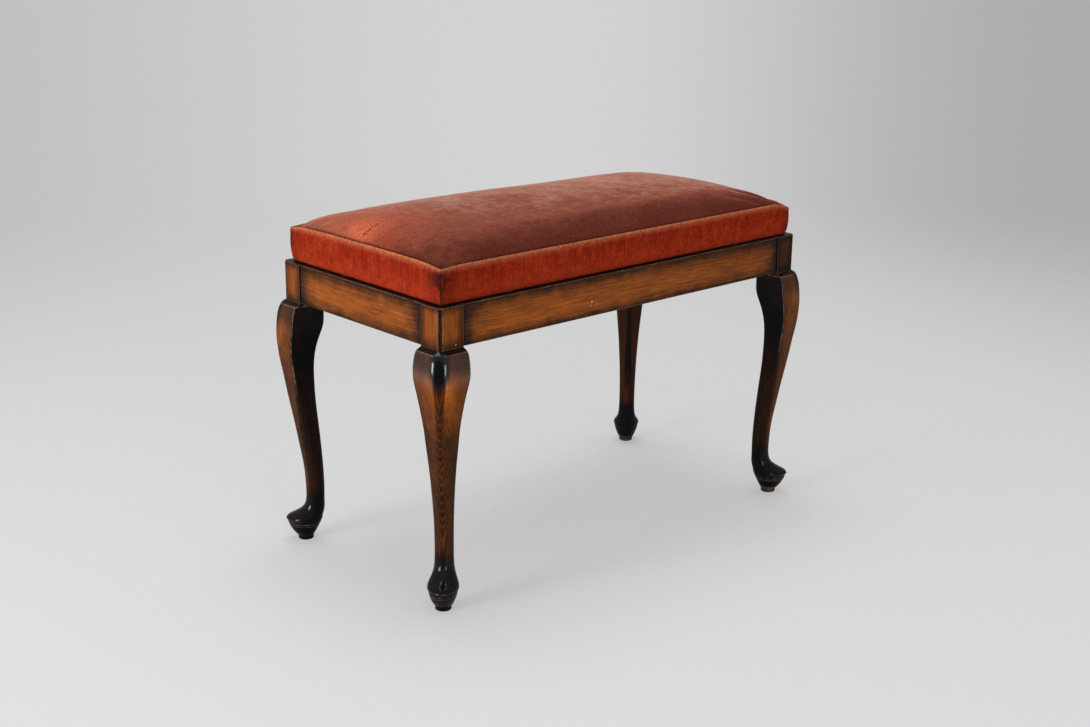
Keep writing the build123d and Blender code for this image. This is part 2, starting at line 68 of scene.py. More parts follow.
# Sizes and levels of the legs, and the pith of their grain, measured inwards from the outer corner
POST_SIZE = 40 * MM
POST_CHAMFER = 5.0 * MM
KNEE_TOP = 371.5 * MM
FOOT_RINGS = (27.2 * MM, 23.4 * MM)
LEG_PITH = (-0.022, -0.022, 0.0)

# Levels and half sizes of the seat, read from the pieces
LID_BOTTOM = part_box("boxing_front")[0].z
SEAM_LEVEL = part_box("boxing_front")[1].z
HEM_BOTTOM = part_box("hem_front")[0].z
SEAT_HALF_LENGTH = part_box("hem_right")[1].x
SEAT_HALF_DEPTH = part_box("hem_back")[1].y
SEAM_HALF_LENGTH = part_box("seat_top")[1].x
SEAM_HALF_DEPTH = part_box("seat_top")[1].y
HINGE_LOW, HINGE_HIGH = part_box("hinge_right_lid_leaf")
HINGE_SPREAD = (HINGE_LOW.x + HINGE_HIGH.x) / 2
HINGE_HALF = (HINGE_HIGH.x - HINGE_LOW.x) / 2

# Small chips through the lacquer, and small dark marks on the crown: place and size
LEG_CHIPS = (((-0.3332, -0.181, 0.3808), 0.9 * MM),)
LONG_RAIL_CHIPS = (
    ((-0.2834, -0.1795, 0.4346), 1.2 * MM),
    ((-0.0835, -0.1795, 0.3976), 1.2 * MM),
    ((-0.0853, -0.1795, 0.3921), 1.0 * MM),
    ((-0.0235, -0.1795, 0.4335), 0.8 * MM),
)
END_RAIL_CHIPS = (((-0.3585, -0.0366, 0.4347), 1.0 * MM),)
CROWN_MARKS = (((-0.1915, -0.1436, 0.4985), 2.2 * MM), ((0.0216, -0.1459, 0.4985), 2.0 * MM))

# Rings of the cover's seam: how far outside it and above it, and shares of wear, painted shade and side
SEAM_RINGS = (
    (0.5 * MM, -1.8 * MM, 0.0, 1.0, 0.0),
    (0.9 * MM, 0.2 * MM, 0.1, 0.7, 0.2),
    (1.6 * MM, 2.0 * MM, 0.75, 0.0, 0.6),
    (2.8 * MM, 2.9 * MM, 1.0, 0.0, 0.8),
    (4.1 * MM, 2.3 * MM, 1.0, 0.0, 1.0),
    (4.9 * MM, 0.6 * MM, 0.75, 0.0, 1.0),
    (5.2 * MM, -1.8 * MM, 0.30, 0.0, 1.0),
)

# Rings of the cover's sides, by their share of the height, and how far the sides swell out
SIDE_SHARES = (0.85, 0.72, 0.58, 0.44, 0.30, 0.18, 0.08)
SIDE_SWELL = 2.8 * MM

# Rings turned under the board: how far in from the side, level, and share of painted shade
TURNED_RINGS = (
    (0.0, LID_BOTTOM + 0.4 * MM, 0.0),
    (0.3 * MM, LID_BOTTOM - 0.6 * MM, 0.3),
    (1.3 * MM, HEM_BOTTOM - 0.05 * MM, 0.6),
    (3.0 * MM, HEM_BOTTOM - 0.05 * MM, 0.8),
)

# Soft hollows and swellings of the crown: centre, reach and height, in metres
SEAT_HOLLOWS = (
    ((-0.300, 0.050), (0.090, 0.100), 6.5 * MM),
    ((-0.330, 0.110), (0.035, 0.060), 6.0 * MM),
    ((0.310, -0.030), (0.050, 0.100), 2.0 * MM),
    ((0.330, -0.135), (0.030, 0.040), 3.0 * MM),
    ((-0.180, 0.070), (0.090, 0.100), 2.3 * MM),
    ((-0.050, 0.080), (0.090, 0.100), 1.6 * MM),
    ((0.090, 0.080), (0.090, 0.100), -1.7 * MM),
    ((0.210, 0.060), (0.090, 0.100), -2.7 * MM),
)

# Waves along the cover's sides and along the cut edges of the hems
PUCKER_PITCHES = (9.5 * MM, 14.0 * MM)
HEM_PITCHES = (21 * MM, 34 * MM, 9 * MM)

# Rings of a felt button, by their shares of its radius and of its height
FELT_RINGS = (
    (0.45, 0.0), (0.8, 0.0), (0.94, 0.06), (1.0, 0.3),
    (1.0, 0.7), (0.95, 0.93), (0.8, 1.0), (0.45, 0.97),
)
FELT_STEPS = 48
FELT_SEED = 7

# Width of the camera's sensor, in millimetres
SENSOR_WIDTH = 36.0


class Graph:
    """Adds nodes to a shader tree and joins them up."""

    def __init__(self, tree):
        self.tree = tree

    def add(self, kind, inputs=None, **settings):
        """A new node with its settings and its inputs."""
        node = self.tree.nodes.new(kind)
        for name, value in settings.items():
            setattr(node, name, value)
        self.fill(node, inputs or {})
        return node

    def fill(self, node, inputs):
        """Feeds a node's inputs, by name or number."""
        for name, value in inputs.items():
            self.feed(node.inputs[name], value)

    def feed(self, socket, value):
        """Links a socket to another, or sets its value; a colour is given as three numbers."""
        if isinstance(value, bpy.types.NodeSocket):
            self.tree.links.new(value, socket)
        elif socket.type == "RGBA":
            socket.default_value = (*value, 1.0)
        else:
            socket.default_value = value

    def math(self, operation, *values):
        """One step of arithmetic."""
        return self.add("ShaderNodeMath", dict(enumerate(values)), operation=operation).outputs[0]

    def plus(self, first, second):
        """The sum of two values."""
        return self.math("ADD", first, second)

    def less(self, first, second):
        """The first value less the second."""
        return self.math("SUBTRACT", first, second)

    def size(self, value):
        """A value without its sign."""
        return self.math("ABSOLUTE", value)

    def invert(self, mask):
        """A mask that is dark where the given one is light."""
        return self.less(1.0, mask)

    def vector(self, operation, *values):
        """One step of vector arithmetic."""
        node = self.add("ShaderNodeVectorMath", dict(enumerate(values)), operation=operation)
        is_number = operation in {"DISTANCE", "LENGTH", "DOT_PRODUCT"}
        return node.outputs["Value" if is_number else "Vector"]

    def split(self, vector):
        """The three parts of a vector."""
        return self.add("ShaderNodeSeparateXYZ", {0: vector}).outputs[:]

    def join(self, x, y, z):
        """A vector from its three parts."""
        return self.add("ShaderNodeCombineXYZ", {0: x, 1: y, 2: z}).outputs[0]

    def ramp(self, value, start, end, low=0.0, high=1.0):
        """A soft step from low to high as the value goes from start to end."""
        inputs = {"Value": value, "From Min": start, "From Max": end, "To Min": low, "To Max": high}
        return self.add("ShaderNodeMapRange", inputs, interpolation_type="SMOOTHSTEP").outputs[0]

    def noise(self, vector, scale=1.0, detail=2.0, roughness=0.5):
        """Cloudy noise, from about 0.2 to 0.8."""
        inputs = {"Vector": vector, "Scale": scale, "Detail": detail, "Roughness": roughness}
        return self.add("ShaderNodeTexNoise", inputs).outputs[0]

    def mix(self, share, first, second, blend="MIX"):
        """One colour over another."""
        settings = {"data_type": "RGBA", "blend_type": blend}
        return self.add("ShaderNodeMix", {0: share, 6: first, 7: second}, **settings).outputs[2]

    def either(self, *masks):
        """A mask that is dark only where all the masks are."""
        return self.invert(self.both(*(self.invert(mask) for mask in masks)))

    def both(self, *masks):
        """The product of several masks."""
        product = masks[0]
        for mask in masks[1:]:
            product = self.math("MULTIPLY", product, mask)
        return product

    def place(self):
        """The point on the piece, in the frame's metres."""
        return self.add("ShaderNodeTexCoord").outputs["Object"]

    def facing(self):
        """The way the surface faces, in the frame's axes."""
        return self.add("ShaderNodeTexCoord").outputs["Normal"]

    def seen_directly(self):
        """Whether the camera, gloss or glass sees a surface, rather than its light falling on others."""
        path = self.add("ShaderNodeLightPath").outputs
        return self.either(path["Is Camera Ray"], path["Is Glossy Ray"], path["Is Transmission Ray"])

    def attribute(self, name):
        """A value that the mesh carries."""
        return self.add("ShaderNodeAttribute", attribute_name=name).outputs["Fac"]

    def effect(self, name, **inputs):
        """A shared effect with this material's own values; words in its input names are joined by _."""
        node = self.add("ShaderNodeGroup", node_tree=bpy.data.node_groups[name])
        for label, value in inputs.items():
            self.feed(node.inputs[label.replace("_", " ").capitalize()], value)
        return node.outputs


def new_effect(name, inputs, outputs):
    """An empty node group, with its graph, its inputs and its outputs."""
    tree = bpy.data.node_groups.new(name, "ShaderNodeTree")
    for way, labels in (("INPUT", inputs), ("OUTPUT", outputs)):
        for label in labels:
            kind = "NodeSocketVector" if label in {"Vector", "Pith", "Spot"} else "NodeSocketFloat"
            tree.interface.new_socket(name=label, in_out=way, socket_type=kind)
    graph = Graph(tree)
    return graph, graph.add("NodeGroupInput").outputs, graph.add("NodeGroupOutput").inputs


def make_stained_grain():
    """Streaks, growth rings and pores of wood whose grain runs along Z."""
    g, given, out = new_effect("Stained grain", ("Vector", "Pith", "Pitch"), ("Tone", "Rings", "Pores"))
    wide = g.vector("MULTIPLY", given["Vector"], (12, 12, 3))
    warp = g.add("ShaderNodeTexNoise", {"Vector": wide, "Scale": 1.0}).outputs["Color"]
    bend = g.vector("MULTIPLY", g.vector("SUBTRACT", warp, (0.5, 0.5, 0.5)), (0.008, 0.008, 0.0))
    bent = g.vector("ADD", given["Vector"], bend)
    fine = g.noise(g.vector("MULTIPLY", bent, (600, 600, 22)), detail=4.0, roughness=0.7)
    broad = g.noise(g.vector("MULTIPLY", bent, (48, 48, 13)), detail=3.0)
    tone = g.plus(g.math("MULTIPLY", fine, 0.7), g.math("MULTIPLY", broad, 0.3))
    g.feed(out["Tone"], g.ramp(tone, 0.32, 0.68))
    offset = g.vector("MULTIPLY", g.vector("SUBTRACT", bent, given["Pith"]), (1, 1, 0))
    turns = g.math("DIVIDE", g.vector("LENGTH", offset), given["Pitch"])
    phase = g.math("FRACT", g.plus(turns, g.math("MULTIPLY", broad, 1.6)))
    g.feed(out["Rings"], g.both(g.ramp(phase, 0.10, 0.40), g.ramp(phase, 1.0, 0.90)))
    pores = g.noise(g.vector("MULTIPLY", bent, (1500, 1500, 60)), detail=1.0)
    g.feed(out["Pores"], g.ramp(pores, 0.58, 0.72))


def make_worn_arris():
    """Bare, rubbed edges, and darkening where the ambient occlusion is low: dirt and painted shade in the
    corners.
    """
    g, given, out = new_effect("Worn arris", ("Vector", "Width"), ("Wear", "Dirt_and_shade"))
    rounded = g.add("ShaderNodeBevel", {"Radius": given["Width"]}, samples=6).outputs[0]
    unrounded = g.add("ShaderNodeNewGeometry").outputs["Normal"]
    turn = g.invert(g.vector("DOT_PRODUCT", rounded, unrounded))
    open_air = g.add("ShaderNodeAmbientOcclusion", {"Distance": 0.006}, samples=6).outputs["AO"]
    patchy = g.noise(given["Vector"], scale=70.0, detail=4.0, roughness=0.6)
    rubbed = g.plus(turn, g.math("MULTIPLY", g.less(patchy, 0.55), 0.30))
    on_edge = g.both(g.ramp(open_air, 0.55, 0.85), g.ramp(turn, 0.01, 0.05))
    g.feed(out["Wear"], g.both(g.ramp(rubbed, 0.0, 0.10), on_edge))
    g.feed(out["Dirt_and_shade"], g.ramp(open_air, 0.62, 0.25))


def make_toner():
    """Dark toner sprayed along an edge: full at the edge and gone at its reach, a little ragged."""
    g, given, out = new_effect("Toner", ("Vector", "Distance", "Reach"), ("Shade",))
    cloud = g.noise(given["Vector"], scale=45.0, detail=5.0, roughness=0.6)
    ragged = g.math("MULTIPLY", g.less(cloud, 0.5), g.math("MULTIPLY", given["Reach"], 0.9))
    away = g.math("DIVIDE", g.plus(given["Distance"], ragged), given["Reach"])
    g.feed(out["Shade"], g.ramp(away, 1.0, 0.0))


def make_chip():
    """One small ragged chip or spot at a place on the piece."""
    g, given, out = new_effect("Chip", ("Vector", "Spot", "Size"), ("Mask",))
    away = g.vector("DISTANCE", given["Vector"], given["Spot"])
    ragged = g.less(g.noise(given["Vector"], scale=900.0, detail=2.0), 0.5)
    edge = g.plus(g.math("DIVIDE", away, given["Size"]), g.math("MULTIPLY", ragged, 1.4))
    g.feed(out["Mask"], g.ramp(edge, 1.0, 0.7))


def make_tarnish():
    """Dull patches and fine rubbed lines of old metal."""
    g, given, out = new_effect("Tarnish", ("Vector", "Scale"), ("Patches", "Lines"))
    patches = g.noise(given["Vector"], scale=given["Scale"], detail=5.0, roughness=0.65)
    g.feed(out["Patches"], g.ramp(patches, 0.42, 0.62))
    lines = g.noise(g.vector("MULTIPLY", given["Vector"], (300, 4000, 4000)), detail=2.0)
    g.feed(out["Lines"], g.ramp(lines, 0.35, 0.65))


def make_pile():
    """Tufts of cut pile and the cloudy patches where it lies another way."""
    g, given, out = new_effect("Pile", ("Vector", "Tuft"), ("Tufts", "Patches"))
    tuft = g.math("DIVIDE", 1.0, given["Tuft"])
    g.feed(out["Tufts"], g.noise(given["Vector"], scale=tuft, detail=3.0, roughness=0.7))
    g.feed(out["Patches"], g.noise(given["Vector"], scale=16.0, detail=5.0, roughness=0.6))


SHARED_EFFECTS = (make_stained_grain, make_worn_arris, make_toner, make_chip, make_tarnish, make_pile)


def new_material(name):
    """An empty material with its graph and its main shader."""
    material = bpy.data.materials.new(name)
    material.use_nodes = True
    g = Graph(material.node_tree)
    return material, g, material.node_tree.nodes["Principled BSDF"]


def raise_bumps(g, shader, height, depth, strength=1.0, under=None):
    """Bumps of a real depth on a shader, over a rounded normal if one is given."""
    inputs = {"Height": height, "Distance": depth, "Strength": strength}
    if under is not None:
        inputs["Normal"] = under
    g.feed(shader.inputs["Normal"], g.add("ShaderNodeBump", inputs).outputs[0])


def edge_softness(g, wood):
    """How round the edges look: crisp on the rails, posts and feet, softer on the legs and knees."""
    z = g.split(g.place())[2]
    below_ledge = g.ramp(z, KNEE_TOP - 0.003, KNEE_TOP - 0.007)
    on_leg = g.both(below_ledge, g.ramp(z, 0.06, 0.10))
    on_knee = g.both(below_ledge, g.ramp(z, 0.29, 0.34))
    softness = g.ramp(on_leg, 0.0, 1.0, wood.arris_round, wood.edge_round)
    return g.math("MAXIMUM", softness, g.both(on_knee, wood.knee_round))


def stained_wood(name, wood, lay_out, chips):
    """Lacquered, stained wood: streaky grain, sprayed toner, painted light in amber, rubbed arrises with
    painted highlights on some edges, painted shade and dirt in the corners, and small chips.
    """
    material, g, shader = new_material(name)
    place = g.place()
    grain, pith, amber, deep, shade, rubbed, lacquer = lay_out(g, wood)
    figure = g.effect("Stained grain", vector=grain, pith=pith, pitch=wood.ring_pitch)
    edges = g.effect("Worn arris", vector=place, width=wood.arris_width)
    stain = g.mix(figure["Tone"], wood.grain, wood.heart)
    stain = g.mix(g.both(figure["Rings"], 0.30), stain, wood.grain)
    stain = g.mix(g.both(amber, g.ramp(figure["Tone"], 0.0, 1.0, 0.5, 1.0)), stain, wood.amber)
    ringed = g.less(figure["Tone"], g.both(figure["Rings"], 0.55))
    deep_stain = g.mix(g.ramp(ringed, -0.3, 0.8), wood.deep_grain, wood.deep)
    stain = g.mix(deep, stain, deep_stain)
    stain = g.mix(g.both(figure["Pores"], 0.22), stain, wood.toner)
    # Toner, and painted shade with dirt in the corners, where the ambient occlusion is low.
    shaded_finish = g.mix(g.either(shade, g.both(edges["Dirt_and_shade"], 0.8)), stain, wood.toner)
    # Rubbed edges, and the painted highlights that the layout puts on some edges; both are mixed towards
    # the bare colour.
    wear = g.either(edges["Wear"], rubbed)
    shaded_finish = g.mix(g.both(wear, wood.arris_wear_and_highlight), shaded_finish, wood.bare)
    for spot, size in chips:
        mask = g.effect("Chip", vector=place, spot=spot, size=size)["Mask"]
        shaded_finish = g.mix(mask, shaded_finish, wood.chip)
    cloudy = g.noise(place, scale=45.0, detail=4.0)
    gloss = g.plus(wood.roughness - 0.06, g.both(cloudy, 0.12))
    rounded = g.add("ShaderNodeBevel", {"Radius": edge_softness(g, wood)}, samples=10).outputs[0]
    g.fill(shader, {
        "Base Color": shaded_finish,
        "Roughness": g.plus(gloss, g.both(wear, 0.2)),
        "Specular IOR Level": wood.gloss,
        "Coat Weight": g.both(lacquer, g.invert(wear)),
        "Coat Roughness": wood.lacquer_roughness,
        "Coat Normal": rounded,
    })
    pores = g.math("MULTIPLY", g.plus(figure["Pores"], figure["Tone"]), -1.0)
    raise_bumps(g, shader, pores, 0.00006, under=rounded)
    return material


def sprayed(g, distance, reach):
    """Toner from an edge, by the distance from it."""
    return g.effect("Toner", vector=g.place(), distance=distance, reach=reach)["Shade"]


def ring_line(g, z, level, half_width):
    """A thin level line round a leg."""
    return g.ramp(g.size(g.less(z, level)), half_width, 0.4 * half_width)


def frame_top(g, z, face_z):
    """The dark top of the frame under the seat, and a painted highlight along its outer edge."""
    top = g.both(g.ramp(face_z, 0.5, 0.8), g.ramp(z, FRAME_TOP - 0.006, FRAME_TOP - 0.002), 0.95)
    patchy = g.ramp(g.noise(g.place(), scale=60.0, detail=3.0), 0.36, 0.60, 0.25, 1.0)
    return top, g.both(ring_line(g, z, FRAME_TOP - 0.0006, 0.0012), g.ramp(face_z, 0.6, 0.3), patchy)


class LegMap:
    """Where a point on the legs lies: on which leg, how high and on which face, mostly as masks."""

    def __init__(self, g, wood):
        x, y, z = g.split(g.place())
        face_x, face_y, face_z = g.split(g.facing())
        side_x = g.math("SIGN", x)
        side_y = g.math("SIGN", y)
        in_x = g.less(HALF_LENGTH, g.size(x))
        in_y = g.less(HALF_DEPTH, g.size(y))
        own_figure = g.plus(g.both(side_x, 0.71), g.both(side_y, 1.37))
        self.grain = g.join(in_x, in_y, g.plus(z, own_figure))
        self.z = z
        self.face_z = face_z

        # One leg from another
        left = g.ramp(x, 0.0, -0.1)
        front = g.ramp(y, 0.0, -0.1)
        back = g.ramp(y, 0.0, 0.1)
        self.right = g.ramp(x, 0.0, 0.1)
        self.front_left = g.both(left, front)
        self.front_right = g.both(self.right, front)
        self.back_left = g.both(left, back)
        self.back_right = g.both(self.right, back)
        self.but_back_right = g.ramp(self.back_right, 0.0, 1.0, 1.0, 0.1)

        # The nose at the outer corner, and the two faces inside
        out_x = g.both(face_x, side_x)
        out_y = g.both(face_y, side_y)
        self.corner = g.math("MINIMUM", out_x, out_y)
        self.heel = g.math("MAXIMUM", out_x, out_y)
        self.nose = g.ramp(self.corner, 0.22, 0.54)
        self.inner = g.ramp(self.corner, -0.35, -0.85)
        self.front_or_back = g.size(face_y)
        to_front = g.less(self.front_or_back, g.size(face_x))
        but_front_right = g.invert(self.front_right)
        self.front_face = g.both(g.ramp(to_front, 0.2, 0.6), but_front_right)

        # The square post, and the shaped leg below it
        self.post = g.ramp(z, RAIL_BOTTOM - 0.001, RAIL_BOTTOM + 0.001)
        self.below = g.invert(self.post)
        self.from_outside = g.math("MAXIMUM", in_x, in_y)
        from_nose = g.size(g.less(in_x, in_y))
        flank_width = g.ramp(z, 0.06, 0.34, 0.024, 0.052)
        self.across = g.math("DIVIDE", from_nose, flank_width)

        # Sprayed areas that the deep stain and the toner share
        soft = g.add("ShaderNodeBevel", {"Radius": wood.edge_spray}, samples=8).outputs[0]
        soft_x, soft_y = g.split(soft)[:2]
        soft_corner = g.math("MINIMUM", g.both(soft_x, side_x), g.both(soft_y, side_y))
        under_ledge = g.ramp(z, KNEE_TOP, KNEE_TOP - 0.02)
        self.inner_edge = g.both(g.ramp(soft_corner, -0.03, -0.36), under_ledge)
        self.knee = g.both(sprayed(g, g.less(wood.knee_fade, z), 0.026), self.below)
        self.post_edges = self.spray_post(g)

    def spray_post(self, g):
        """The edges of a post's faces, and its outer corner on the back left and front right legs."""
        foot = sprayed(g, g.less(self.z, RAIL_BOTTOM), 0.020)
        top = sprayed(g, g.less(FRAME_TOP, self.z), 0.014)
        beside_rail = sprayed(g, g.less(POST_SIZE, self.from_outside), 0.014)
        beside_corner = sprayed(g, g.less(self.from_outside, POST_CHAMFER), 0.014)
        outer_corner = g.both(beside_corner, g.either(self.back_left, self.front_right), 0.8)
        return g.both(g.either(foot, top, g.both(beside_rail, 0.8), outer_corner), self.post)


def leg_stain(g, wood, leg):
    """Painted light in amber on the fronts of the thighs, deep stain on knees, shins, noses, edges and
    posts, and painted shade over the front right leg.
    """
    # Painted light: amber on the front faces of the thighs.
    thigh = g.both(g.ramp(leg.across, 0.80, 0.40), g.ramp(leg.z, 0.240, 0.310))
    amber = g.both(leg.front_face, leg.below, thigh, 0.8)
    # Painted light: less deep stain on the front faces.
    light_strip = g.ramp(leg.front_face, 0.0, 1.0, 0.7, 0.1)
    all_over = g.math("MAXIMUM", light_strip, g.ramp(leg.across, 0.25, 0.65))
    shin = sprayed(g, g.less(leg.z, wood.shin_fade), wood.shin_reach)
    flank_edge = g.both(g.ramp(leg.across, 0.45, 0.95), leg.below)
    deep = g.either(
        g.both(leg.knee, g.ramp(leg.front_right, 0.0, 1.0, 0.85, 0.5)),
        g.both(shin, g.ramp(leg.front_right, 0.0, 1.0, 0.94, 0.64)),
        g.both(leg.post_edges, 0.9),
        g.both(leg.nose, leg.below, 0.85),
        g.both(leg.nose, leg.post, 0.97),
        g.both(leg.below, wood.leg_depth, all_over),
        g.both(leg.post, wood.post_depth),
        # Painted shade over the front right leg below its post.
        g.both(leg.front_right, leg.below, 0.25),
        leg.inner_edge,
        g.both(flank_edge, 0.4),
    )
    back_inside = g.both(leg.back_right, leg.inner)
    return amber, g.both(deep, g.ramp(back_inside, 0.0, 1.0, 1.0, 0.8))


def leg_toner(g, wood, leg):
    """Black toner on the knee's corner and shoulder, the foot, the inner faces and the edges."""
    z = leg.z
    nose_black = g.both(leg.nose, sprayed(g, g.less(wood.nose_fade, z), 0.030))
    nose_black = g.both(nose_black, g.ramp(leg.post, 0.0, 1.0, 1.0, 0.5))
    shoulder = g.both(g.ramp(leg.face_z, 0.35, 0.75), leg.knee)
    foot = sprayed(g, g.less(z, 0.066), 0.024)
    cloud = g.ramp(g.noise(g.place(), scale=24.0, detail=3.0), 0.40, 0.60, 0.80, 1.0)
    inner_black = g.both(leg.inner, g.ramp(z, 0.12, 0.30, 0.10, 0.97), cloud, leg.but_back_right)
    beside_nose = g.both(g.ramp(leg.across, 0.44, 0.30), g.ramp(z, 0.330, 0.352), leg.below)
    heel_line = g.both(g.ramp(leg.heel, -0.08, -0.36), leg.back_right, g.ramp(z, 0.07, 0.16))
    dark_post = g.both(leg.front_right, leg.post, g.ramp(leg.front_or_back, 0.5, 0.8), 0.75)
    return g.either(
        g.both(nose_black, 0.97),
        g.both(leg.knee, g.ramp(leg.front_left, 0.0, 1.0, 0.08, 0.35)),
        g.both(shoulder, 0.95),
        g.both(foot, 0.95),
        inner_black,
        g.both(leg.post_edges, 0.25),
        g.both(leg.inner_edge, 0.6),
        dark_post,
        g.both(heel_line, 0.9),
        g.both(beside_nose, 0.9),
    )


def leg_pale_lines(g, leg):
    """Pale lines mixed as bare wood: painted highlights on the inner arrises and the shoulders, and wood
    rubbed bare on foot rings and chamfers and on the right pads.
    """
    z = leg.z
    # Painted highlight along the inner arrises.
    inner_arris = g.both(g.ramp(leg.corner, -0.12, -0.40), g.ramp(leg.corner, -0.92, -0.62))
    inner_arris = g.both(inner_arris, g.ramp(z, 0.225, 0.285), leg.below)
    but_nose = g.invert(leg.nose)
    # Painted highlight along the knee's shoulder.
    shoulder_arris = g.both(ring_line(g, z, KNEE_TOP - 0.0006, 0.0013), but_nose)
    foot_rings = g.either(*(ring_line(g, z, level, 0.0008) for level in FOOT_RINGS))
    foot_rings = g.both(foot_rings, leg.but_back_right, 0.7)
    from_chamfer = g.size(g.less(leg.from_outside, POST_CHAMFER))
    post_arris = g.both(g.ramp(from_chamfer, 0.0011, 0.0004), leg.post, 0.8)
    patchy = g.ramp(g.noise(g.place(), scale=120.0, detail=3.0), 0.36, 0.60, 0.2, 1.0)
    lines = g.both(g.either(inner_arris, shoulder_arris, foot_rings, post_arris), patchy)
    worn_pad = g.both(g.ramp(z, 0.0115, 0.0095), leg.right, patchy, 0.6)
    return g.either(lines, worn_pad)


def leg_lacquer(g, wood, leg):
    """Lacquer, thick on the front left knee, less on other knees and feet, dull inside and on noses."""
    z = leg.z
    on_knee = g.both(g.ramp(z, 0.312, 0.350), leg.below)
    knee_lacquer = g.ramp(leg.front_left, 0.0, 1.0, 0.4 * wood.knee_lacquer, wood.knee_lacquer)
    lacquer = g.ramp(on_knee, 0.0, 1.0, 0.7 * wood.lacquer, knee_lacquer)
    lacquer = g.math("MAXIMUM", lacquer, g.ramp(z, 0.085, 0.055, 0.0, wood.foot_lacquer))
    flat_nose = g.ramp(leg.corner, 0.58, 0.68, 0.0, 0.97)
    ledge = g.both(g.ramp(leg.face_z, 0.3, 0.6), g.ramp(z, KNEE_TOP - 0.020, KNEE_TOP - 0.012))
    cup = g.ramp(z, 0.034, 0.029, 0.0, 0.6)
    dull = g.either(flat_nose, g.both(leg.inner, 0.8), g.both(ledge, 0.4), cup)
    return g.both(lacquer, g.invert(dull))


def lay_out_leg(g, wood):
    """A leg's grain, pith, painted light in amber, deep stain, toner, pale lines and lacquer."""
    leg = LegMap(g, wood)
    cap, cap_line = frame_top(g, leg.z, leg.face_z)
    amber, deep = leg_stain(g, wood, leg)
    shade = g.either(leg_toner(g, wood, leg), cap)
    rubbed = g.either(leg_pale_lines(g, leg), cap_line)
    return leg.grain, LEG_PITH, amber, deep, shade, rubbed, leg_lacquer(g, wood, leg)


def lay_out_rail(along):
    """The layout of a rail's grain, stain and toner, for a rail that runs along X (0) or Y (1)."""
    half_run = (HALF_LENGTH, HALF_DEPTH)[along] - POST_SIZE
    pith = (0.0, (0.33, 0.32)[along], 0.0)
    # Painted shade towards the right end of the long rails, and painted light in amber towards their left
    # end.
    right_shade = (0.14, 0.0)[along]
    left_amber = (0.18, 0.0)[along]

    def lay_out(g, wood):
        """Grain along the rail, deep stain and toner round the edges of its face, and painted light and
        shade along it.
        """
        parts = g.split(g.place())
        run, across, z = parts[along], parts[1 - along], parts[2]
        side = g.math("SIGN", across)
        grain = g.join(g.size(across), z, g.plus(run, g.both(side, 1.7)))
        from_end = g.less(half_run, g.size(run))
        from_top = g.less(FRAME_TOP, z)
        from_bottom = g.less(z, RAIL_BOTTOM)
        faces = g.split(g.facing())
        inside = g.ramp(g.both(faces[1 - along], side), -0.3, -0.8)
        ends = sprayed(g, from_end, wood.end_toner)
        top = sprayed(g, from_top, wood.top_toner)
        bottom = sprayed(g, from_bottom, wood.bottom_toner)
        cloud = g.noise(g.vector("MULTIPLY", grain, (70, 70, 28)), detail=4.0, roughness=0.6)
        cloudy = g.ramp(cloud, 0.46, 0.70, 0.0, 0.25)
        # Painted shade: darker towards the right.
        toward_right = g.ramp(run, -0.10, 0.30, 0.0, right_shade)
        edge_stain = g.either(g.both(ends, 0.86), g.both(top, 0.86), g.both(bottom, 0.84))
        deep = g.either(edge_stain, g.both(inside, 0.8), cloudy, toward_right)
        near_end = sprayed(g, from_end, 0.45 * wood.end_toner)
        near_top = sprayed(g, from_top, 0.55 * wood.top_toner)
        near_bottom = sprayed(g, from_bottom, 0.4 * wood.bottom_toner)
        joint_line = g.ramp(from_end, 0.0026, 0.0012, 0.0, 0.95)
        # The frame's top edge gets a painted highlight.
        cap, cap_line = frame_top(g, z, faces[2])
        near_edges = g.either(g.both(near_end, 0.70), g.both(near_top, 0.55), g.both(near_bottom, 0.5))
        shade = g.either(near_edges, joint_line, cap)
        # Painted light: amber towards the left end.
        amber = g.ramp(run, 0.20, -0.05, 0.0, left_amber)
        return grain, pith, amber, deep, shade, cap_line, wood.lacquer

    return lay_out


def plain_wood(name, fittings, grain_axis):
    """Bare softwood, planed and a little grubby, its grain along one axis."""
    material, g, shader = new_material(name)
    place = g.place()
    parts = g.split(place)
    grain = g.join(parts[(grain_axis + 1) % 3], parts[(grain_axis + 2) % 3], parts[grain_axis])
    figure = g.effect("Stained grain", vector=grain, pith=(0.2, 0.35, 0.0), pitch=0.0035)
    edges = g.effect("Worn arris", vector=place, width=0.0008)
    wood = g.mix(figure["Rings"], fittings.softwood, fittings.softwood_ring)
    wood = g.mix(g.both(figure["Tone"], 0.25), wood, fittings.softwood_ring)
    # Dirt and painted shade in the corners, where the ambient occlusion is low.
    wood = g.mix(g.both(edges["Dirt_and_shade"], 0.7), wood, fittings.dirt)
    g.fill(shader, {"Base Color": wood, "Roughness": g.ramp(figure["Tone"], 0.0, 1.0, 0.62, 0.78)})
    raise_bumps(g, shader, figure["Tone"], 0.00008)
    return material


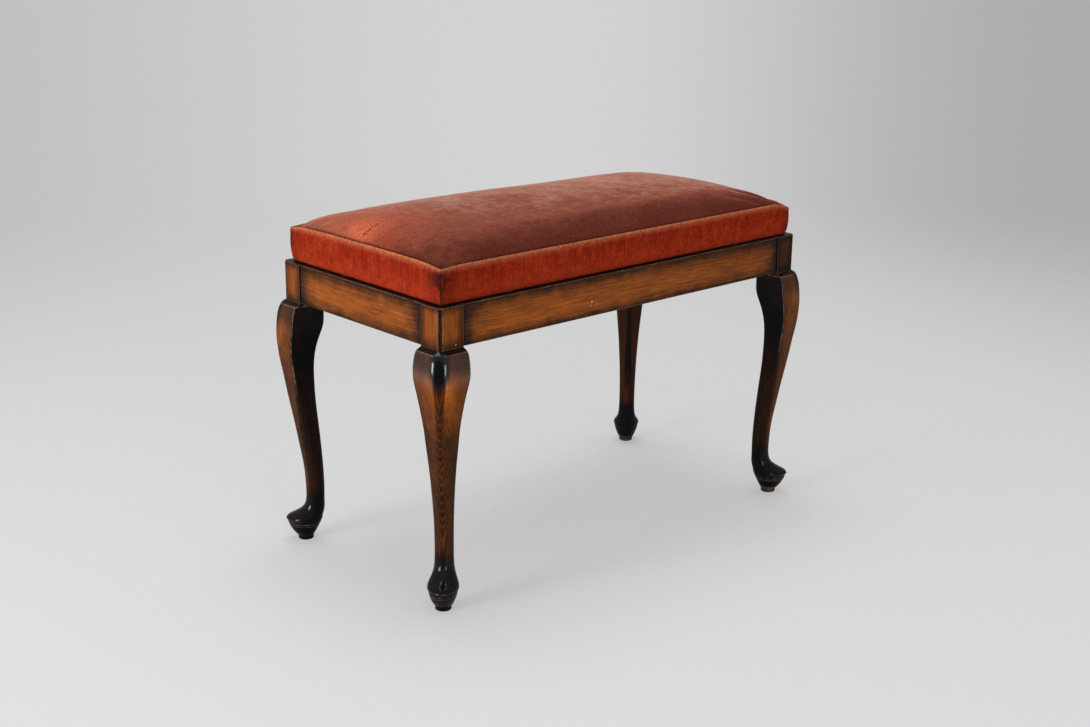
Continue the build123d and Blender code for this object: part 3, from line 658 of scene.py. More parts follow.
def layered_board(name, fittings, bottom, ply):
    """Thin plywood: figured face veneer, and plies that show as layers on the edges."""
    material, g, shader = new_material(name)
    place = g.place()
    x, y, z = g.split(place)
    figure = g.effect("Stained grain", vector=g.join(y, z, x), pith=(0.45, 0.2, 0.0), pitch=0.006)
    edges = g.effect("Worn arris", vector=place, width=0.0008)
    face = g.mix(figure["Tone"], fittings.veneer_dark, fittings.veneer)
    face = g.mix(g.both(figure["Rings"], 0.35), face, fittings.veneer_dark)
    layer = g.math("FRACT", g.math("DIVIDE", g.less(z, bottom), 2 * ply))
    layers = g.mix(g.ramp(layer, 0.46, 0.54), fittings.veneer_dark, fittings.veneer)
    flat = g.ramp(g.size(g.split(g.facing())[2]), 0.5, 0.8)
    wood = g.mix(flat, layers, face)
    stains = g.ramp(g.noise(place, scale=9.0, detail=5.0), 0.55, 0.75)
    # Dirt and painted shade in the corners, and random stains.
    wood = g.mix(g.either(g.both(edges["Dirt_and_shade"], 0.7), g.both(stains, 0.25)), wood, fittings.dirt)
    g.fill(shader, {"Base Color": wood, "Roughness": g.ramp(figure["Tone"], 0.0, 1.0, 0.6, 0.75)})
    raise_bumps(g, shader, figure["Tone"], 0.00006)
    return material


def old_metal(name, bright, dull, roughness):
    """Old fittings metal: tarnished patches, rubbed bright on its edges."""
    material, g, shader = new_material(name)
    place = g.place()
    old = g.effect("Tarnish", vector=place, scale=260.0)
    edges = g.effect("Worn arris", vector=place, width=0.0005)
    tone = g.mix(g.both(old["Patches"], 0.75), bright, dull)
    tone = g.mix(g.both(edges["Wear"], 0.7), tone, bright)
    tone = g.mix(g.both(edges["Dirt_and_shade"], 0.6), tone, dull)
    rough = g.plus(roughness, g.both(old["Patches"], 0.22))
    rough = g.plus(rough, g.both(old["Lines"], 0.08))
    g.fill(shader, {"Base Color": tone, "Metallic": 1.0, "Roughness": rough})
    raise_bumps(g, shader, g.plus(old["Lines"], old["Patches"]), 0.00003)
    return material


def broken_scuff(g, seat):
    """A short, broken scuff at the left end of the crown."""
    place = g.place()
    x, y = g.split(place)[:2]
    wander = g.less(g.noise(place, scale=140.0, detail=3.0), 0.5)
    line = g.plus(g.less(y, seat.scuff_line), g.math("MULTIPLY", wander, 0.012))
    stroke = g.ramp(g.size(line), 0.0040, 0.0006)
    broken = g.ramp(g.noise(place, scale=380.0), 0.38, 0.60)
    return g.both(stroke, broken, g.ramp(x, -0.306, -0.314), g.ramp(x, -0.343, -0.335))


def crown_cloth(g, seat, pile, streaks, blotch):
    """Rose-brown pile: painted shade on faces turned one way and at the front and right edges, painted
    sheen at a slant, a paler back corner, a rubbed patch, a scuff and marks.
    """
    place = g.place()
    x, y = g.split(place)[:2]
    uneven = g.plus(g.both(streaks, 0.14), g.both(blotch, 0.29))
    uneven = g.less(g.plus(g.both(pile["Patches"], 0.24), uneven), 0.335)
    # Painted shade: crown faces turned towards a fixed direction are painted darker, in the crown's shade
    # colour.
    away_from_shade = g.invert(g.vector("DOT_PRODUCT", g.facing(), seat.shade_facing))
    upright = g.ramp(g.plus(away_from_shade, uneven), 0.42, 0.80)
    crown = g.mix(upright, seat.crown_dark, seat.crown)
    # Painted sheen: a paler colour mixed into the base colour where the crown is seen at a slant.
    aslant = g.add("ShaderNodeLayerWeight", {"Blend": 0.5}).outputs["Facing"]
    sheen = g.ramp(g.plus(aslant, uneven), 0.72, 0.97)
    crown = g.mix(sheen, crown, seat.crown_sheen)
    # Painted shade: the crown is painted darker along its front edge and at its right end.
    front_edge = g.ramp(y, -0.095, -0.160, 0.0, 0.6)
    right_end = g.ramp(x, 0.275, 0.335, 0.0, 0.65)
    for edge_shade in (front_edge, right_end):
        crown = g.mix(edge_shade, crown, seat.crown_dark)
    # Paler towards the back left corner, in the sheen's colour.
    dusty = g.ramp(g.vector("DISTANCE", place, seat.pale_spot), 0.150, 0.030, 0.0, 0.30)
    crown = g.mix(dusty, crown, seat.crown_sheen)
    from_patch = g.vector("DISTANCE", place, seat.patch_spot)
    patch = g.either(g.ramp(from_patch, 0.050, 0.008), g.ramp(from_patch, 0.150, 0.030, 0.0, 0.45))
    crown = g.mix(g.both(patch, g.ramp(blotch, 0.10, 0.52)), crown, seat.patch)
    marks = [g.effect("Chip", vector=place, spot=spot, size=size)["Mask"] for spot, size in CROWN_MARKS]
    for mark in (broken_scuff(g, seat), *marks):
        crown = g.mix(g.both(mark, 0.8), crown, seat.soil_and_shade)
    return crown


def side_cloth(g, seat, pile, ribs, blotch):
    """Brick-red pile with fine upright ribs, brighter towards the bottom, with light and dark blotches."""
    z = g.split(g.place())[2]
    cloth = g.mix(g.ramp(ribs, 0.34, 0.62), seat.boxing_dark, seat.boxing)
    lower = g.ramp(z, SEAM_LEVEL - 0.012, LID_BOTTOM, 0.0, 0.45)
    brushed = g.ramp(pile["Patches"], 0.52, 0.72, 0.0, 0.35)
    light_blotch = g.ramp(blotch, 0.50, 0.68, 0.0, 0.5)
    for bright in (lower, brushed, light_blotch):
        cloth = g.mix(bright, cloth, seat.boxing_bright)
    return g.mix(g.ramp(blotch, 0.50, 0.32, 0.0, 0.6), cloth, seat.boxing_dark)


def corner_grime(g, side, worn_edge, blotch):
    """Grime at the seat's corners, most on the sides at the front left, and little on the rubbed edge."""
    x, y, z = g.split(g.place())
    corner_x = g.less(SEAT_HALF_LENGTH, g.size(x))
    corner_y = g.less(SEAT_HALF_DEPTH, g.size(y))
    to_corner = g.math("MAXIMUM", corner_x, corner_y)
    grime = g.both(g.ramp(to_corner, 0.026, 0.0), g.ramp(blotch, 0.42, 0.60), 0.75)
    front_left = g.both(side, g.ramp(x, 0.0, -0.1), g.ramp(y, 0.0, -0.1))
    soiled = g.both(front_left, g.ramp(to_corner, 0.050, -0.008), g.ramp(blotch, 0.26, 0.56))
    soiled = g.both(soiled, g.ramp(z, LID_BOTTOM + 0.004, SEAM_LEVEL - 0.008, 0.25, 0.72))
    unworn = g.invert(g.both(worn_edge, 0.85))
    return g.both(g.either(grime, soiled), unworn)


def velvet(seat):
    """Worn cut velvet: rose-brown crown, brick-red sides with fine ribs, pale rubbed seam edge."""
    material, g, shader = new_material("seat_velvet")
    place = g.place()
    x, y, z = g.split(place)
    face_x, face_y = g.split(g.facing())[:2]
    side = g.attribute("boxing")
    worn_edge = g.attribute("worn")
    # The seam value is painted shade along the seam, in the corner creases and under the board.
    seam = g.attribute("seam")
    pile = g.effect("Pile", vector=place, tuft=seat.tuft)
    end = g.less(g.size(face_x), g.size(face_y))
    end = g.ramp(end, -0.1, 0.1)
    run = g.plus(g.both(x, g.invert(end)), g.both(y, end))
    rib_place = g.join(g.math("MULTIPLY", run, 1.0 / seat.rib_pitch), g.both(z, 18.0), g.both(end, 7.0))
    ribs = g.noise(rib_place, detail=3.0, roughness=0.65)
    wale = g.math("SINE", g.math("MULTIPLY", run, 2 * math.pi / (0.6 * seat.rib_pitch)))
    streaks = g.noise(g.vector("MULTIPLY", place, (22, 190, 190)), detail=4.0, roughness=0.6)
    blotch = g.noise(place, scale=75.0, detail=5.0, roughness=0.65)

    crown = crown_cloth(g, seat, pile, streaks, blotch)
    cloth = g.mix(side, crown, side_cloth(g, seat, pile, ribs, blotch))
    fretted = g.ramp(g.noise(place, scale=190.0, detail=4.0), 0.32, 0.62, 0.6, 1.0)
    cloth = g.mix(g.both(worn_edge, fretted, 0.9), cloth, seat.worn)
    # Grime at the corners, and painted shade along the seam.
    grime_and_seam_shade = g.either(corner_grime(g, side, worn_edge, blotch), g.both(seam, 0.92))
    cloth = g.mix(grime_and_seam_shade, cloth, seat.soil_and_shade)
    mottle = g.noise(place, scale=320.0, detail=3.0, roughness=0.65)
    tufts = g.both(g.ramp(pile["Tufts"], 0.25, 0.75, 0.72, 1.22), g.ramp(mottle, 0.30, 0.70, 0.80, 1.20))
    cloth = g.mix(1.0, cloth, g.join(tufts, tufts, tufts), blend="MULTIPLY")
    g.fill(shader, {
        "Base Color": cloth,
        "Roughness": g.ramp(pile["Tufts"], 0.2, 0.8, 0.82, 1.0),
        "Specular IOR Level": 0.05,
        "Sheen Weight": seat.sheen,
        "Sheen Roughness": 0.25,
        "Sheen Tint": seat.sheen_tint,
    })
    on_sides = g.both(g.plus(ribs, g.both(wale, 0.12)), side)
    height = g.plus(g.both(pile["Tufts"], 0.7), g.plus(on_sides, g.both(streaks, 0.4)))
    raise_bumps(g, shader, height, 0.0006, strength=0.8)
    return material


def felt_cloth(fittings):
    """Pressed felt, matted and a little dusty."""
    material, g, shader = new_material("button_felt")
    pile = g.effect("Pile", vector=g.place(), tuft=0.0006)
    tone = g.mix(pile["Tufts"], fittings.felt_dark, fittings.felt)
    rough = g.ramp(pile["Tufts"], 0.2, 0.8, 0.9, 1.0)
    g.fill(shader, {"Base Color": tone, "Roughness": rough, "Sheen Weight": 0.3})
    raise_bumps(g, shader, pile["Tufts"], 0.0003)
    return material


def finish_nodes(material, *names):
    """Puts a material on CAD pieces, which keep their shapes."""
    for name in names:
        for slot in NODES[name].material_slots:
            slot.material = material


def new_piece(name, points, faces, material):
    """A mesh piece with smooth faces, in the frame's metres."""
    mesh = bpy.data.meshes.new(name)
    mesh.from_pydata([tuple(point) for point in points], [], [tuple(face) for face in faces])
    mesh.polygons.foreach_set("use_smooth", [True] * len(mesh.polygons))
    mesh.materials.append(material)
    piece = bpy.data.objects.new(name, mesh)
    bpy.context.scene.collection.objects.link(piece)
    return piece


def spread(half, fine, coarse, growth=1.4):
    """Places from -half to half: close together beside the ends, and even between."""
    close = [0.0]
    step = fine
    while step < coarse:
        close.append(close[-1] + step)
        step *= growth
    count = math.ceil((2 * half - 2 * close[-1]) / coarse)
    middle = np.linspace(close[-1] - half, half - close[-1], count + 1)
    return np.concatenate([np.array(close[:-1]) - half, middle, half - np.array(close[-2::-1])])


def falloff(distance, reach):
    """1 at no distance, falling off smoothly over a reach."""
    return np.exp(-((distance / reach) ** 2))


def hill(x, y, centre, reach):
    """A smooth hill of height 1 at a centre, falling off over a reach in X and Y."""
    return np.exp(-(((x - centre[0]) / reach[0]) ** 2) - ((y - centre[1]) / reach[1]) ** 2)


def at_hinge(x, room):
    """Whether places along the back lie at a hinge, with room at both sides."""
    return np.abs(np.abs(x) - HINGE_SPREAD) < HINGE_HALF + room


def seam_lift(x, y, seat):
    """The seam's height: risen at the left end, sagging at the right end, pulled down at the corners."""
    along_end = np.clip(np.abs(y) / SEAM_HALF_DEPTH, 0, 1)
    on_end = np.clip((np.abs(x) / SEAM_HALF_LENGTH - 0.9) / 0.1, 0, 1)
    to_corner = np.hypot(SEAM_HALF_LENGTH - np.abs(x), SEAM_HALF_DEPTH - np.abs(y))
    rise = seat.end_lift * on_end * (1 - along_end**4) * (x < 0)
    rise -= seat.end_drop * on_end * (x > 0)
    pull = np.where(x > 0, seat.right_pull, seat.corner_pull)
    return rise - pull * falloff(to_corner, seat.pull_reach)


def crown_height(x, y, seat):
    """The crown before it is stuffed: steep beside the seam, flat across the middle."""
    along = np.clip(np.abs(x) / SEAM_HALF_LENGTH, 0, 1)
    across = np.clip(np.abs(y) / SEAM_HALF_DEPTH, 0, 1)
    full = (1 - along**5.0) ** 0.52 * (1 - across**2.2) ** 0.5
    return SEAM_LEVEL + seam_lift(x, y, seat) * (1 - full) + seat.crown_rise * full


def cover_rings():
    """Rings round the crown: inset from the frame's face, level, and shares of wear, painted shade and
    side.
    """
    seam_inset = HALF_LENGTH - SEAM_HALF_LENGTH
    side_inset = HALF_LENGTH - SEAT_HALF_LENGTH
    rings = [(seam_inset - out, SEAM_LEVEL + up, *shares) for out, up, *shares in SEAM_RINGS]
    for share in SIDE_SHARES:
        swelling = math.sin(math.pi * min(1.0, share / 1.25 + 0.02)) ** 0.8
        level = LID_BOTTOM + share * (SEAM_LEVEL - LID_BOTTOM)
        rings.append((side_inset - SIDE_SWELL * swelling, level, 0.0, 0.0, 1.0))
    return rings + [(side_inset + turn, level, 0.0, shade_share, 1.0) for turn, level, shade_share in TURNED_RINGS]


def grid_faces(index):
    """Quads over a grid of point numbers, facing up when X and Y run along its axes."""
    corners = index[:-1, :-1], index[1:, :-1], index[1:, 1:], index[:-1, 1:]
    return np.stack([corner.ravel() for corner in corners], axis=1).tolist()


def carry(piece, **values):
    """Lets a mesh's points carry values for its material."""
    for name, numbers in values.items():
        attribute = piece.data.attributes.new(name, "FLOAT", "POINT")
        attribute.data.foreach_set("value", np.asarray(numbers, np.float32))


def build_seat(seat, material):
    """The velvet cover as one sheet: crown, sewn seam, rubbed edge, sides and the turn under the board."""
    finest = 1.5 * MM
    hinge_room = 2 * MM
    over_hinge = LID_BOTTOM + 0.05 * MM
    seam_width = 1.6 * MM
    groove_width = 1.3 * MM
    crease_width = 1.2 * MM
    xs = spread(SEAM_HALF_LENGTH, finest, seat.cell)
    ys = spread(SEAM_HALF_DEPTH, finest, seat.cell)
    grid_x, grid_y = np.meshgrid(xs, ys, indexing="ij")
    crown = np.stack([grid_x, grid_y, crown_height(grid_x, grid_y, seat)], axis=-1).reshape(-1, 3)
    index = np.arange(grid_x.size).reshape(grid_x.shape)
    faces = grid_faces(index)
    border = np.concatenate([index[:-1, 0], index[-1, :-1], index[:0:-1, -1], index[0, :0:-1]])
    edge_x, edge_y = crown[border, 0], crown[border, 1]
    lift = seam_lift(edge_x, edge_y, seat)
    from_edges = np.array([SEAM_HALF_LENGTH, SEAM_HALF_DEPTH]) - np.abs(crown[:, :2])
    to_corner = np.hypot(*from_edges[border].T)
    inward = -np.sign(crown[border, :2]) / math.sqrt(2)
    on_hinge = (edge_y > 0) & at_hinge(edge_x, hinge_room)
    points, worn, side = [crown], [np.zeros(len(crown))], [np.zeros(len(crown))]
    # Painted shade: the 'seam' value darkens the crown along its seam, the seam's groove, the corner
    # creases and the turn under the board.
    sewn = [falloff(from_edges.min(axis=1), seam_width)]
    previous = border
    count = len(crown)
    for inset, level, wear, shade_share, sidelong in cover_rings():
        scale_x = (HALF_LENGTH - inset) / SEAM_HALF_LENGTH
        scale_y = (HALF_DEPTH - inset) / SEAM_HALF_DEPTH
        share = np.clip((level - LID_BOTTOM) / (SEAM_LEVEL - LID_BOTTOM), 0, 1)
        groove = seat.corner_seam * falloff(to_corner, groove_width) * (1 if sidelong > 0.5 else 0.3)
        groove = groove * (1 - 0.6 * wear)
        ring = np.stack([edge_x * scale_x, edge_y * scale_y, level + lift * share], axis=1)
        ring[:, :2] += inward * groove[:, None]
        if level < LID_BOTTOM:
            ring[on_hinge, 2] = over_hinge
        # Painted shade in the upright creases at the corners.
        crease = falloff(to_corner, crease_width) * (sidelong > 0.5) * (1 - 0.9 * wear)
        points.append(ring)
        worn.append(np.full(len(border), wear))
        sewn.append(np.maximum(shade_share, crease))
        side.append(np.full(len(border), sidelong))
        numbers = count + np.arange(len(border))
        following = np.roll(numbers, -1)
        faces += np.stack([previous, numbers, following, np.roll(previous, -1)], axis=1).tolist()
        previous = numbers
        count += len(border)
    cover = new_piece("seat_cover", np.concatenate(points), faces, material)
    carry(cover, worn=np.concatenate(worn), seam=np.concatenate(sewn), boxing=np.concatenate(side))
    return cover, len(crown), border


def inflate(cover, held, limit, seat):
    """Stuffs the cover by cloth pressure with its seams held, and keeps each point within its limit."""
    rest = read_points(cover.data)
    group = cover.vertex_groups.new(name="sewn")
    group.add(held.tolist(), 1.0, "REPLACE")
    cloth = cover.modifiers.new("stuffing", "CLOTH")
    cloth.settings.quality = 5
    cloth.settings.mass = 0.25
    cloth.settings.tension_stiffness = 12.0
    cloth.settings.compression_stiffness = 12.0
    cloth.settings.bending_stiffness = 0.6
    cloth.settings.use_pressure = True
    cloth.settings.uniform_pressure_force = seat.pressure
    cloth.settings.vertex_group_mass = group.name
    cloth.settings.effector_weights.gravity = 0.0
    cloth.collision_settings.use_collision = False
    cloth.point_cache.frame_end = seat.stuffing_frames
    for number in range(1, seat.stuffing_frames + 1):
        bpy.context.scene.frame_set(number)
    swollen = cover.evaluated_get(bpy.context.evaluated_depsgraph_get())
    moved = read_points(swollen.data) - rest
    cover.modifiers.remove(cloth)
    cover.vertex_groups.remove(group)
    bpy.context.scene.frame_set(1)
    length = np.maximum(np.linalg.norm(moved, axis=1), 1e-9)
    write_points(cover.data, rest + moved * np.minimum(1.0, limit / length)[:, None])


def read_points(mesh):
    """A mesh's points as rows of three numbers."""
    points = np.zeros(len(mesh.vertices) * 3)
    mesh.vertices.foreach_get("co", points)
    return points.reshape(-1, 3)


def write_points(mesh, points):
    """Puts rows of three numbers back into a mesh."""
    mesh.vertices.foreach_set("co", points.astype(np.float32).ravel())
    mesh.update()


def settle(cover, seat, crown_count):
    """Years of use: soft hollows and swellings of the crown, and puckers below the seam."""
    held_edge = 16 * MM
    sway = 110 * MM
    points = read_points(cover.data)
    x, y = points[:, 0], points[:, 1]
    crown = np.arange(len(points)) < crown_count
    past_x = np.abs(x) - SEAM_HALF_LENGTH
    past_y = np.abs(y) - SEAM_HALF_DEPTH
    free = np.clip(-np.maximum(past_x, past_y) / held_edge, 0, 1)
    for centre, reach, height in SEAT_HOLLOWS:
        points[crown, 2] += (height * hill(x, y, centre, reach) * free)[crown]
    draws = np.random.default_rng(seat.seed)
    outward = np.stack([np.sign(x) * (past_x > 0), np.sign(y) * (past_y > 0)], axis=1)
    share = np.clip((points[:, 2] - LID_BOTTOM) / (SEAM_LEVEL - LID_BOTTOM), 0, 1) * ~crown
    for run, on_run in ((x, np.abs(outward[:, 1])), (y, np.abs(outward[:, 0]))):
        for pitch in PUCKER_PITCHES:
            phase = draws.uniform(0, 2 * math.pi)
            drift = draws.uniform(0.6, 1.4)
            wave = np.sin(2 * math.pi * run / pitch + phase + 1.5 * np.sin(run / (sway * drift)))
            points[:, :2] += outward * (seat.pucker * wave * on_run * share**2.0)[:, None]
    write_points(cover.data, points)


def thicken(piece, thickness):
    """Gives a cloth sheet its thickness, inward."""
    solid = piece.modifiers.new("thickness", "SOLIDIFY")
    solid.thickness = thickness
    solid.offset = -1.0


def soften(piece):
    """Smooths a cloth sheet by one subdivision."""
    smooth = piece.modifiers.new("smooth", "SUBSURF")
    smooth.levels = 1
    smooth.render_levels = 1


def build_hem(side, seat, material):
    """One edge of the velvet, turned under the board: tacked down, with a cut, slightly wavy edge."""
    cell = 2 * MM
    thickness = 0.8 * MM
    edge_room = 0.4 * MM
    edge_wave = 0.25 * MM
    sag_depth = 0.12 * MM
    tuck = 1.3 * MM
    notch = 11.2 * MM
    notch_room = 0.5 * MM
    notch_slope = 0.1 * MM
    low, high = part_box(f"hem_{side}")
    long_way = 0 if side in ("front", "back") else 1
    half = (SEAT_HALF_LENGTH, SEAT_HALF_DEPTH)[long_way]
    half_across = (SEAT_HALF_DEPTH, SEAT_HALF_LENGTH)[long_way]
    sign = 1.0 if side in ("back", "right") else -1.0
    width = (high - low)[1 - long_way]
    run = np.linspace(-half, half, int(half / cell) + 1)
    notched = side == "back"
    if notched:
        notch_half = HINGE_HALF + notch_room
        ends = [way * HINGE_SPREAD + end * notch_half for way in (-1, 1) for end in (-1, 1)]
        run = np.sort(np.concatenate([run] + [[end - notch_slope, end + notch_slope] for end in ends]))
    start = np.where(notched & at_hinge(run, notch_room), notch, tuck)
    draws = np.random.default_rng(seat.seed + SIDES.index(side))
    phases = draws.uniform(0, 2 * math.pi, len(HEM_PITCHES))
    wave = sum(np.sin(2 * math.pi * run / pitch + phase) for pitch, phase in zip(HEM_PITCHES, phases))
    stop = np.minimum(width - edge_room + edge_wave * wave, width)
    shares = np.array([0.0, 0.04, 0.15, 0.35, 0.55, 0.75, 0.92, 1.0])
    inset = start[:, None] + (stop - start)[:, None] * shares
    along = np.clip(run[:, None], -half + inset, half - inset)
    sag = sag_depth * (wave[:, None] / len(HEM_PITCHES)) * np.sin(math.pi * shares)[None, :]
    level = HEM_BOTTOM + sag_depth + sag
    flat = [along, sign * (half_across - inset)]
    points = np.stack([flat[long_way], flat[1 - long_way], level], axis=-1)
    faces = grid_faces(np.arange(inset.size).reshape(inset.shape))
    if (sign > 0) == (long_way == 0):
        faces = [face[::-1] for face in faces]
    hem = new_piece(f"hem_strip_{side}", points.reshape(-1, 3), faces, material)
    thicken(hem, thickness)
    everywhere = np.ones(inset.size)
    # The turned hems carry a little painted shade, as they lie under the board.
    carry(hem, worn=0.0 * everywhere, seam=0.25 * everywhere, boxing=everywhere)
    return hem


def build_felt_buttons(material):
    """Four pressed felt discs with soft, slightly uneven rims."""
    low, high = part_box("felt_buttons")
    thick = high.z - low.z
    dip = 0.03 * thick
    radius = 5 * MM
    shrink = 0.03
    rim_wave = 0.015
    front_x, front_y = 230 * MM, low.y + radius
    end_x, back_y = high.x - radius, high.y - radius
    draws = np.random.default_rng(FELT_SEED)
    around = np.linspace(0, 2 * math.pi, FELT_STEPS, endpoint=False)
    grid = np.arange(len(FELT_RINGS) * FELT_STEPS).reshape(len(FELT_RINGS), FELT_STEPS)
    points, faces = [], []
    for x, y in ((-front_x, front_y), (front_x, front_y), (-end_x, back_y), (end_x, back_y)):
        uneven = 1 - shrink * draws.random() - rim_wave * np.sin(3 * around + draws.uniform(0, 6))
        index = len(points) + grid
        bottom = len(points) + grid.size
        for share, level in FELT_RINGS:
            ring = share * radius * uneven
            level_z = np.full(FELT_STEPS, low.z + level * thick)
            points += list(zip(x + ring * np.cos(around), y + ring * np.sin(around), level_z))
        points += [(x, y, low.z), (x, y, high.z - dip)]
        for lower, upper in zip(index[:-1], index[1:]):
            faces += np.stack([lower, np.roll(lower, -1), np.roll(upper, -1), upper], axis=1).tolist()
        faces += [(bottom, b, a) for a, b in zip(index[0], np.roll(index[0], -1))]
        faces += [(bottom + 1, a, b) for a, b in zip(index[-1], np.roll(index[-1], -1))]
    return new_piece("felt_button_pads", points, faces, material)


def build_floor(stage):
    """A wide pale floor that lets views from below through."""
    reach = stage.floor_reach
    corners = [(-reach, -reach, 0.0), (reach, -reach, 0.0), (reach, reach, 0.0), (-reach, reach, 0.0)]
    material, g, shader = new_material("studio_floor")
    x, y = g.split(g.place())[:2]
    away = g.plus(g.both(x, math.sin(stage.yaw)), g.both(y, math.cos(stage.yaw)))
    paper = g.mix(g.ramp(away, -1.5, 2.0), stage.floor_near, stage.floor_far)
    g.fill(shader, {"Base Color": paper, "Roughness": 0.9, "Specular IOR Level": 0.1})
    # Painted light: camera and gloss also see an even pale glow of the floor, paler in front, which
    # lightens its shadows.
    pale = g.mix(g.ramp(away, -1.0, 1.2), stage.glow_near, stage.glow_far)
    glow = g.add("ShaderNodeEmission", {"Color": pale}).outputs[0]
    lit = {0: g.both(g.seen_directly(), stage.glow), 1: shader.outputs[0], 2: glow}
    floor_shader = g.add("ShaderNodeMixShader", lit).outputs[0]
    clear = g.add("ShaderNodeBsdfTransparent").outputs[0]
    below = g.add("ShaderNodeNewGeometry").outputs["Backfacing"]
    past = g.ramp(g.vector("LENGTH", g.place()), 0.2 * reach, 0.6 * reach)
    shown = g.add("ShaderNodeMixShader", {0: g.either(below, past), 1: floor_shader, 2: clear}).outputs[0]
    g.feed(material.node_tree.nodes["Material Output"].inputs["Surface"], shown)
    floor = new_piece("studio_floor", corners, [(0, 1, 2, 3)], material)


def add_lamp(name, place, aim, power, size):
    """A soft studio lamp that points at a place."""
    data = bpy.data.lights.new(name, "AREA")
    data.shape = "RECTANGLE"
    data.size, data.size_y = size
    data.energy = power
    lamp = bpy.data.objects.new(name, data)
    lamp.location = place
    lamp.rotation_mode = "QUATERNION"
    lamp.rotation_quaternion = (Vector(aim) - Vector(place)).to_track_quat("-Z", "Y")
    bpy.context.scene.collection.objects.link(lamp)


def add_camera(stage):
    """The photograph's camera."""
    data = bpy.data.cameras.new("camera")
    data.sensor_width = SENSOR_WIDTH
    data.sensor_fit = "HORIZONTAL"
    data.lens = stage.lens
    camera = bpy.data.objects.new("camera", data)
    yaw, pitch, roll = stage.yaw, stage.pitch, stage.roll
    forward = Vector((math.sin(yaw) * math.cos(pitch), math.cos(yaw) * math.cos(pitch), math.sin(pitch)))
    level_right = Vector((math.cos(yaw), -math.sin(yaw), 0.0))
    level_up = level_right.cross(forward)
    right = math.cos(roll) * level_right + math.sin(roll) * level_up
    up = right.cross(forward)
    turn = Matrix((right, up, -forward)).transposed().to_4x4()
    camera.matrix_world = Matrix.Translation(stage.camera_place) @ turn
    bpy.context.scene.collection.objects.link(camera)
    bpy.context.scene.camera = camera


def light_world(stage):
    """Even studio light from all round, and the backdrop that cameras and gloss see."""
    world = bpy.data.worlds.new("studio")
    world.use_nodes = True
    g = Graph(world.node_tree)
    rightward = (math.cos(stage.yaw), -math.sin(stage.yaw), 0.0)
    across = g.vector("DOT_PRODUCT", g.add("ShaderNodeTexCoord").outputs["Generated"], rightward)
    backdrop = g.mix(g.ramp(across, -0.45, 0.0), stage.backdrop_left, stage.backdrop)
    backdrop = g.mix(g.ramp(across, 0.0, 0.30), backdrop, stage.backdrop_right)
    tone = g.mix(g.seen_directly(), stage.ambient, backdrop)
    g.feed(world.node_tree.nodes["Background"].inputs["Color"], tone)
    bpy.context.scene.world = world


def tint(name, description, default):
    """A colour property."""
    limits = {"size": 3, "subtype": "COLOR", "min": 0.0, "max": 1.0}
    return FloatVectorProperty(name=name, description=description, default=default, **limits)


def metres(name, description, default):
    """A length property."""
    units = {"subtype": "DISTANCE", "unit": "LENGTH", "precision": 4}
    return FloatProperty(name=name, description=description, default=default, **units)


def factor(name, description, default):
    """A property from 0 to 1."""
    limits = {"subtype": "FACTOR", "min": 0.0, "max": 1.0}
    return FloatProperty(name=name, description=description, default=default, **limits)


def angle(name, description, degrees):
    """An angle property, its default in degrees."""
    units = {"subtype": "ANGLE", "unit": "ROTATION"}
    return FloatProperty(name=name, description=description, default=math.radians(degrees), **units)


def watts(name, description, default):
    """A lamp's power."""
    return FloatProperty(name=name, description=description, unit="POWER", default=default)


def point(name, description, default):
    """A place in the frame, in metres."""
    units = {"size": 3, "subtype": "TRANSLATION", "unit": "LENGTH"}
    return FloatVectorProperty(name=name, description=description, default=default, **units)


def direction(name, description, default):
    """A direction in the frame."""
    kind = {"size": 3, "subtype": "DIRECTION"}
    return FloatVectorProperty(name=name, description=description, default=default, **kind)


